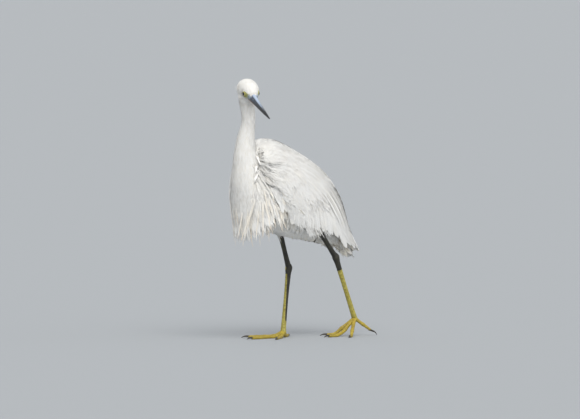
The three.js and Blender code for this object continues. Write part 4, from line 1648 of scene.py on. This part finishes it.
def make_flank(name, side):
    """Soft feathers of one flank, below the front of its wing."""
    rng = np.random.default_rng(41 + side)
    rows = 8
    v = toward_tip(rows)
    coat = Coat()
    for number, (first, last, count, length) in enumerate(FLANK_ROWS):
        k = np.linspace(0, 1, count)[:, None]
        start = mix(np.array(first, float), np.array(last, float), k) * [side, 1, 1]
        roots = np.array([nearest(p)[0][:] for p in start])
        ways = unit(FLANK_WAY + rng.normal(0, 0.07, (count, 3)))
        shafts, normals = creep(roots, ways, length * rng.uniform(0.85, 1.15, count), v)
        lift = mix(0.5, 6.5 + 1.8 * number, settle(v))[None, :] + rng.normal(0, 0.15, (count, 1))
        halves = 4.4 * rng.uniform(0.85, 1.15, (count, 1)) * rounded(v, 2.0)[None, :]
        spots = unwrapped(["torso"] * count, np.full(count, 0.3), rng.uniform(0, math.tau, count))
        add_vanes(
            coat,
            shafts + normals * lift[:, :, None],
            normals,
            halves,
            spots,
            rng.random(count),
            spine=FLIGHT_SPINE,
            thick=0.12,
            camber=0.12,
            slant=0.5,
            ragged=0.25,
            seed=number,
        )
    return coat.make(name)


def make_side_plumes():
    """Fine white plumes that fan out from the sides of the breast over the shoulders."""
    coat = Coat()
    v = np.linspace(0, 1, 12)
    stand = mix(1.0, 5.6, smooth_step(0, 0.35, v))
    paths, _, widths, spots = hanging(SIDE_ROWS, v, 9, -2.0, stand)
    add_locks(coat, paths, widths, 7, 18, spots, thick=0.36)
    return coat.make("side_plumes")


# Loose feathers on the nape, as the photograph shows them: root and tip in pixels.
NAPE_PIXELS = (
    ((239.5, 84.0), (235.6, 85.6)), ((238.8, 85.2), (234.6, 87.4)), ((238.2, 86.4), (235.0, 89.0)),
    ((238.0, 87.6), (235.6, 90.6))
)


def make_nape_tuft():
    """A few loose feathers that stand off the nape."""
    v = np.linspace(0, 1, 8)
    nape = HEAD_MIDDLE - 8 * head_forward
    roots = np.array([nearest(at_depth(*root, nape))[0][:] for root, _ in NAPE_PIXELS])
    tips = np.array([at_depth(*tip, nape) for _, tip in NAPE_PIXELS])
    bow = 0.8 * np.sin(math.pi * v)[None, :, None] * UP
    paths = straight(roots, tips, v) + bow
    coat = Coat()
    many = len(roots)
    spots = unwrapped(["head"] * many, np.full(many, 0.1), np.full(many, math.pi / 2))
    add_locks(coat, paths, np.full(many, 1.8), 6, 19, spots, thick=0.24)
    return coat.make("nape_tuft")


# ---------------------------------------------------------------- bill, eyes, lids and lores


NOSTRIL = {"forward": 25.0, "side": 4.7, "up": -0.4, "size": (2.9, 1.3, 0.45)}


def cut_nostrils(piece):
    """Cuts a narrow slot into each side of the upper bill, along its groove."""
    for side in (1, -1):
        deselect()
        bpy.ops.mesh.primitive_uv_sphere_add(segments=24, ring_count=14, radius=1)
        cutter = bpy.context.object
        co = places_of(cutter) * NOSTRIL["size"]
        middle = head_point(NOSTRIL["forward"], side * NOSTRIL["side"], NOSTRIL["up"])
        put(cutter, placed(middle + co[:, :1] * head_forward + co[:, 1:2] * head_left + co[:, 2:] * head_up))
        choose(piece)
        cut = piece.modifiers.new("nostril", "BOOLEAN")
        cut.object = cutter
        cut.solver = "EXACT"
        bpy.ops.object.modifier_apply(modifier="nostril")
        bpy.data.objects.remove(cutter)


def make_bill(name, body, material, replaced, is_upper):
    def relief(t, turn):
        side = np.degrees(np.abs(np.arctan2(np.sin(turn), np.abs(np.cos(turn)))))
        groove = np.exp(-(((side - 34) / 11) ** 2)) * smooth_step(0.04, 0.12, t) * smooth_step(0.62, 0.3, t)
        ridge = np.exp(-(((side - 90) / 20) ** 2)) * smooth_step(0.85, 0.1, t)
        sunk = 1.9 * smooth_step(0.16, 0.02, t)
        return -0.75 * groove + 0.25 * ridge - sunk if is_upper else -0.3 * groove

    piece, t, turn = swept(name, body, 48, 72, 0.6, 0.0, relief)
    co = places_of(piece) / MILLIMETRE - SHIFT
    local = co - HEAD_MIDDLE
    f = local @ head_forward
    middle_line = body["path"](np.clip((f - 6) / (BILL_TIP - 6), 0, 1))
    edge = np.abs((co - middle_line) @ head_up)
    note(piece, "reach", np.clip((f - 10) / (BILL_TIP - 10), 0, 1))
    note(piece, "rim", smooth_step(1.5, 0.2, edge) * 0.9)
    # crown: the top of the upper bill, where its painted highlight goes, and the underside of the lower bill,
    # which is pale.
    crown = smooth_step(0.72, 0.96, np.sin(turn)) if is_upper else smooth_step(0.2, 0.8, -np.sin(turn))
    note(piece, "crown", crown)
    if is_upper:
        cut_nostrils(piece)
    shade_smooth(piece, 50)
    return wear(piece, material, replaced)


def make_eye(side):
    deselect()
    bpy.ops.mesh.primitive_uv_sphere_add(segments=40, ring_count=28, radius=1)
    piece = bpy.context.object
    piece.name = "eyeball_left" if side > 0 else "eyeball_right"
    co = places_of(piece)
    look = eye_look(side)
    across = unit(np.cross(UP, look))
    rise = np.cross(look, across)
    bulge = 1 + 0.06 * smooth_step(0.6, 1.0, co[:, 2])
    points = EYE_RADIUS * bulge[:, None] * (co[:, :1] * across + co[:, 1:2] * rise + co[:, 2:] * look)
    put(piece, placed(points + eye_middle(side)))
    note(piece, "gaze", np.hypot(co[:, 0], co[:, 1]) + (co[:, 2] < 0) * 2)
    face_out(piece)
    shade_smooth(piece)
    return wear(piece, eye_yellow, ("eye_left" if side > 0 else "eye_right",))


LID_RING = 3.75


def make_lids(side):
    """A ring of bare skin round the eye, drawn out before and behind it, with two folds."""
    deselect()
    bpy.ops.mesh.primitive_torus_add(
        major_segments=56, minor_segments=14, major_radius=LID_RING, minor_radius=0.6
    )
    piece = bpy.context.object
    piece.name = "lids_left" if side > 0 else "lids_right"
    co = places_of(piece)
    turn = np.arctan2(co[:, 1], co[:, 0])
    out = np.hypot(co[:, 0], co[:, 1]) - LID_RING
    look = eye_look(side)
    ahead = unit(head_forward - look * (head_forward @ look))
    rise = unit(np.cross(look, ahead)) * (1 if side > 0 else -1)
    rise = rise if rise @ head_up > 0 else -rise
    almond = 1 + 0.13 * np.cos(2 * turn) + 0.05 * np.cos(turn)
    wrinkle = 0.09 * np.sin(26 * turn) * smooth_step(-0.2, 0.7, out)
    reach = (3.55 * almond) + out * 1.25
    height = co[:, 2] * 0.9 + wrinkle - 0.5 * smooth_step(0.1, 0.7, out)
    points = ahead * (reach * np.cos(turn))[:, None] + rise * (reach * np.sin(turn) * 0.94)[:, None]
    points = points + look * (height + 2.75)[:, None] + eye_middle(side)
    put(piece, placed(points))
    note(piece, "rim", 0.35 + 0.55 * smooth_step(0.1, -0.5, out))
    note(piece, "ahead", 0.25 - 0.2 * np.cos(turn))
    face_out(piece)
    shade_smooth(piece)
    return wear(piece, lore_skin)


def make_lores(side):
    """Bare skin from the eye to the root of the bill, in fine wrinkles."""
    deselect()
    bpy.ops.mesh.primitive_grid_add(x_subdivisions=44, y_subdivisions=30, size=2)
    piece = bpy.context.object
    piece.name = "lores_left" if side > 0 else "lores_right"
    co = places_of(piece)
    u, v = (co[:, 0] + 1) / 2, (co[:, 1] + 1) / 2
    t = mix(0.66, 0.985, u)
    low, high = mix(-34, -24, u), mix(22, 30, u)
    turn = np.radians(mix(low, high, v))
    turn = turn if side > 0 else math.pi - turn
    crease = np.sin(9 * math.pi * (v + 0.25 * u + 0.03 * np.sin(11 * u)))
    edge = np.minimum(np.minimum(u, 1 - u), np.minimum(v, 1 - v))
    lift = -0.45 + 0.08 * crease * smooth_step(0, 0.2, edge) - 1.3 * smooth_step(0.1, 0.0, edge)
    put(piece, placed(skin_point(HEAD, t, turn, lift)))
    # rim darkens the bottoms of the wrinkles: painted shade in the creases.
    note(piece, "rim", 0.25 * smooth_step(0.3, -0.9, crease))
    note(piece, "ahead", u)
    modify(piece, "SOLIDIFY", thickness=0.0006, offset=-1)
    face_out(piece)
    shade_smooth(piece)
    return wear(piece, lore_skin)


# ---------------------------------------------------------------- legs and feet

LEGS = {1: {"heel": (24, 54, 124), "ball": (24, 96, 27)}, -1: {"heel": (-22, -3, 108), "ball": (-21, -16, 9)}}
SCUTE = 3.1


# Places of the lower leg's sections, as shares of the way from the heel to the ball of the foot.
TARSUS_STATIONS = (-0.06, 0, 0.1, 0.5, 0.9, 1)


def leg_bodies(side):
    exit_place = np.array(THIGHS[side][2], float)
    heel, ball = (np.array(LEGS[side][key], float) for key in ("heel", "ball"))

    def on(start, end, share):
        return start + (end - start) * share

    shank = {
        "up": FORWARD,
        "path": ease(on(exit_place, heel, -0.1), on(exit_place, heel, 0.5), on(exit_place, heel, 1)),
        "size": ease([4, 4.4, 4.4], [3.4, 3.8, 3.8], [4.2, 4.6, 4.8]),
    }
    tarsus = {
        "up": FORWARD,
        "path": ease(*(on(heel, ball, x) for x in TARSUS_STATIONS)),
        "size": ease(
            [3.4, 3, 3.4], [5.4, 5.4, 6.4], [4.1, 4.2, 4.8], [3.3, 3.7, 3.7], [3.9, 4, 4], [4.6, 4.2, 4.2]
        ),
    }
    return shank, tarsus


def scuted(length, depth, start=0.0):
    """Plates down the front of a leg: each overlaps the next one below it."""

    def relief(t, turn):
        run = (t * length / SCUTE) % 1.0
        front = smooth_step(0.1, 0.75, np.sin(turn)) * smooth_step(start, start + 0.06, t)
        plate = depth * (run**1.6 - 0.35) - depth * 0.8 * smooth_step(0.93, 1.0, run)
        ripple = 0.07 * np.sin(t * length * 2.9 + 2.2 * np.sin(4 * turn)) * np.sin(5 * turn)
        return plate * front + ripple * (1 - front)

    return relief


def make_leg(side):
    name = "left" if side > 0 else "right"
    shank, tarsus = leg_bodies(side)
    # Upper leg
    piece, t, turn = swept(f"upper_leg_{name}", shank, 28, 90, 0.5, 0.0, scuted(60, 0.22))
    front = np.sin(turn)
    # The left upper leg is black; the right one is painted less dark, most of all on its front, as a painted
    # sheen.
    note(piece, "dark", np.full(len(t), 1.0) if side > 0 else 0.74 + 0.2 * t - 0.22 * front * (t < 0.8))
    note(piece, "crease", np.zeros(len(t)))
    shade_smooth(piece)
    wear(piece, leg_skin, (f"shank_{name}",))
    # Lower leg, with the swollen joint at its top
    heel, ball = (np.array(LEGS[side][key], float) for key in ("heel", "ball"))
    length = np.linalg.norm(ball - heel) * 1.06
    piece, t, turn = swept(f"lower_leg_{name}", tarsus, 32, 220, 1.2, 0.0, scuted(length, 0.34, 0.3))
    # The stations are even in t and not along the leg, so t is turned into a share of the leg.
    share = np.interp(t, [0, 0.2, 0.4, 0.6, 0.8, 1], TARSUS_STATIONS)
    front = np.sin(turn)
    if side > 0:
        dark = smooth_step(0.25, 0.2, share)
    else:
        shaded = -(np.cos(turn) + front) / 1.414
        back_side = smooth_step(-0.12, 0.12, shaded - mix(-0.4, 0.4, share / 0.78))
        joint = smooth_step(0.13, 0.07, share)
        patch = smooth_step(0.05, 0.02, np.abs(share - 0.01))
        patch = patch * smooth_step(0.5, 0.9, (np.cos(turn) + front) / 1.4)
        dark = np.maximum(joint * (1 - 0.8 * patch), back_side * smooth_step(0.84, 0.78, share))
    note(piece, "dark", dark)
    run = (t * length / SCUTE) % 1.0
    note(piece, "crease", smooth_step(0.9, 1.0, run) * smooth_step(0.1, 0.75, front) * (share > 0.12))
    shade_smooth(piece)
    wear(piece, leg_skin, (f"tarsus_{name}",))


TOES = (
    # turn from the way forward, length, and where along it each foot's toe meets the ground, left and right
    (-34, 52, (0.8, 0.3)),
    (2, 67, (0.62, 0.25)),
    (36, 56, (0.75, 0.3)),
    (150, 31, (1.37, 0.4)),
)
TOE_GIRTH = 2.7
CLAW_LENGTH = 11
SOLE = 2.1
TOE_SCUTE = 2.3


def toe_bodies(side, turn, length, lands):
    """One toe and its claw."""
    ball = np.array(LEGS[side]["ball"], float)
    angle = math.radians(side * turn)
    way = np.array([math.sin(angle), -math.cos(angle), 0])
    slope = lands[0] if side > 0 else lands[1]
    fall = ball[2] - SOLE
    run = math.sqrt((slope * length) ** 2 - fall**2) / slope

    def reach(s):
        return s * run if s < slope else slope * run + (s - slope) * length

    def height(s):
        return mix(ball[2], SOLE, min(1, s / slope))

    def at(distance, z):
        return np.array([ball[0], ball[1], z]) + way * distance

    end = reach(1)
    girth = [TOE_GIRTH * 1.3, TOE_GIRTH, TOE_GIRTH, TOE_GIRTH * 0.86, 2]
    digit = {
        "up": UP,
        "path": ease(*(at(reach(s), height(s)) for s in (0, 0.25, 0.5, 0.75, 1))),
        "size": ease(*([g, g, g * 0.94] for g in girth)),
    }
    claw = {
        "up": UP,
        "path": ease(
            at(end - 2, height(1) + 0.2),
            at(end + CLAW_LENGTH * 0.35, mix(height(1), 1.5, 0.4) + 1.0),
            at(end + CLAW_LENGTH * 0.75, mix(height(1), 1.2, 0.6) + 0.5),
            at(end + CLAW_LENGTH, 0.5),
        ),
        "size": ease([1.7, 1.9, 1.5], [1.35, 1.5, 1.3], [0.8, 0.9, 0.8], [0.25, 0.3, 0.3]),
    }
    return digit, claw


JOINTS = {0: (0.5,), 1: (0.4, 0.72), 2: (0.3, 0.55, 0.78), 3: (0.55,)}


def make_foot(side):
    name = "left" if side > 0 else "right"
    ball = np.array(LEGS[side]["ball"], float)
    toes, claws = [], []
    for number, (turn, length, lands) in enumerate(TOES):
        digit, claw = toe_bodies(side, turn, length, lands)
        knuckles = JOINTS[number]

        def relief(t, turn_, length=length, knuckles=knuckles):
            top = smooth_step(0.05, 0.7, np.sin(turn_))
            run = (t * length / TOE_SCUTE) % 1.0
            plate = 0.26 * (run**1.6 - 0.3) - 0.2 * smooth_step(0.92, 1.0, run)
            swell = sum(np.exp(-(((t - k) / 0.045) ** 2)) for k in knuckles)
            pads = 0.12 * np.sin(t * length * 3.4) * smooth_step(0.2, 0.8, -np.sin(turn_))
            return plate * top + 0.42 * swell + pads

        toe, t, around = swept("toe", digit, 20, 96, 0.5, 0.0, relief)
        run = (t * length / TOE_SCUTE) % 1.0
        note(toe, "crease", smooth_step(0.85, 1.0, run) * smooth_step(0.0, 0.6, np.sin(around)))
        # Toward each toe's underside the skin is painted with some black: painted shade under the toes.
        note(toe, "dark", 0.22 * smooth_step(0.3, -0.8, np.sin(around)))
        toes.append(toe)
        claws.append(swept("claw", claw, 14, 16, 0.1)[0])
    deselect()
    bpy.ops.mesh.primitive_uv_sphere_add(segments=28, ring_count=20, radius=5.1 * MILLIMETRE)
    knuckle = bpy.context.object
    bpy.ops.transform.resize(value=(0.95, 1.08, 0.92))
    bpy.ops.object.transform_apply(location=True, rotation=True, scale=True)
    put(knuckle, places_of(knuckle) + placed(ball - [0, 0, 1.5]))
    note(knuckle, "crease", np.zeros(len(knuckle.data.vertices)))
    note(knuckle, "dark", np.zeros(len(knuckle.data.vertices)))
    toes.append(knuckle)
    foot = join(toes, f"toes_{name}")
    co = places_of(foot)
    co[:, 2] = np.maximum(co[:, 2], 0.0)
    put(foot, co)
    shade_smooth(foot)
    wear(foot, foot_skin, (f"foot_{name}",))
    claw = join(claws, f"claws_{name}")
    co = places_of(claw)
    co[:, 2] = np.maximum(co[:, 2], 0.00005)
    put(claw, co)
    shade_smooth(claw)
    wear(claw, claw_horn)


# ---------------------------------------------------------------- the bird put together

make_bill("upper_bill", UPPER_BILL, upper_horn, ("bill_upper",), True)
make_bill("lower_bill", LOWER_BILL, lower_horn, ("bill_lower",), False)
for side in (1, -1):
    make_eye(side)
    make_lids(side)
    make_lores(side)
    make_leg(side)
    make_foot(side)

wear(coat_of("head_feathers", ["head"], 11, 4), white_feather)
wear(coat_of("neck_feathers", ["neck"], 12, 5), white_feather)
wear(coat_of("body_feathers", ["torso", "thigh"], 13, 6), cream_painted_shade_feather)
wear(coat_of("mantle_feathers", ["wing"], 14, 6), white_feather)
for side, name in ((1, "left"), (-1, "right")):
    coat = Coat()
    add_wing(coat, side, 40 + side)
    wear(coat.make(f"flight_feathers_{name}"), flight_feather, (f"wing_{name}",))
    wear(make_coverts(f"wing_coverts_{name}", side, 50 + side), white_feather)
    wear(make_wing_silk(f"wing_silk_{name}", side, 60 + side), white_feather)
coat = Coat()
add_tail(coat)
wear(coat.make("tail_feathers"), tail_feather_painted_shade, ("tail",))
wear(make_curtain(), white_feather)
wear(make_plumes(), buff_plume)
wear(make_side_plumes(), white_feather)
wear(make_spine_feathers(), white_feather)
for side, name in ((1, "left"), (-1, "right")):
    wear(make_flank(f"flank_feathers_{name}", side), cream_painted_shade_feather)
wear(make_nape_tuft(), white_feather)
wear(silk_of("neck_silk", ["head", "neck"], 21), white_feather)
wear(silk_of("body_silk", ["torso", "thigh", "wing"], 22), white_feather)

# ---------------------------------------------------------------- floor, light and the last lines


FLOOR_SIZE = 240
ROOM_LIGHT = 0.78


def make_floor():
    deselect()
    bpy.ops.mesh.primitive_plane_add(size=FLOOR_SIZE)
    floor = bpy.context.object
    floor.name = "floor"
    made, shader = new_material("pale_floor", Roughness=0.8)
    shader.inputs["Base Color"].default_value = rgb(168, 172, 176)
    floor.data.materials.append(made)


def make_sun(name, way, strength, spread_angle, colour=(1, 1, 1)):
    light = bpy.data.lights.new(name, "SUN")
    light.energy = strength
    light.angle = math.radians(spread_angle)
    light.color = colour
    lamp = bpy.data.objects.new(name, light)
    bpy.context.scene.collection.objects.link(lamp)
    lamp.rotation_mode = "QUATERNION"
    lamp.rotation_quaternion = Vector(unit(way)).to_track_quat("Z", "Y")


make_floor()
make_sun("key", 0.1 * view_right + 1.0 * UP + 0.9 * view_back, 2.1, 45, (1.0, 0.985, 0.955))
make_sun("fill", 0.9 * view_right + 0.25 * UP + 0.6 * view_back, 0.7, 90, (0.97, 0.98, 1.0))

world = bpy.data.worlds.new("studio")
bpy.context.scene.world = world
world.use_nodes = True
world.node_tree.nodes["Background"].inputs[0].default_value = rgb(222, 224, 226)
world.node_tree.nodes["Background"].inputs[1].default_value = ROOM_LIGHT
bpy.context.scene.view_settings.view_transform = "Standard"
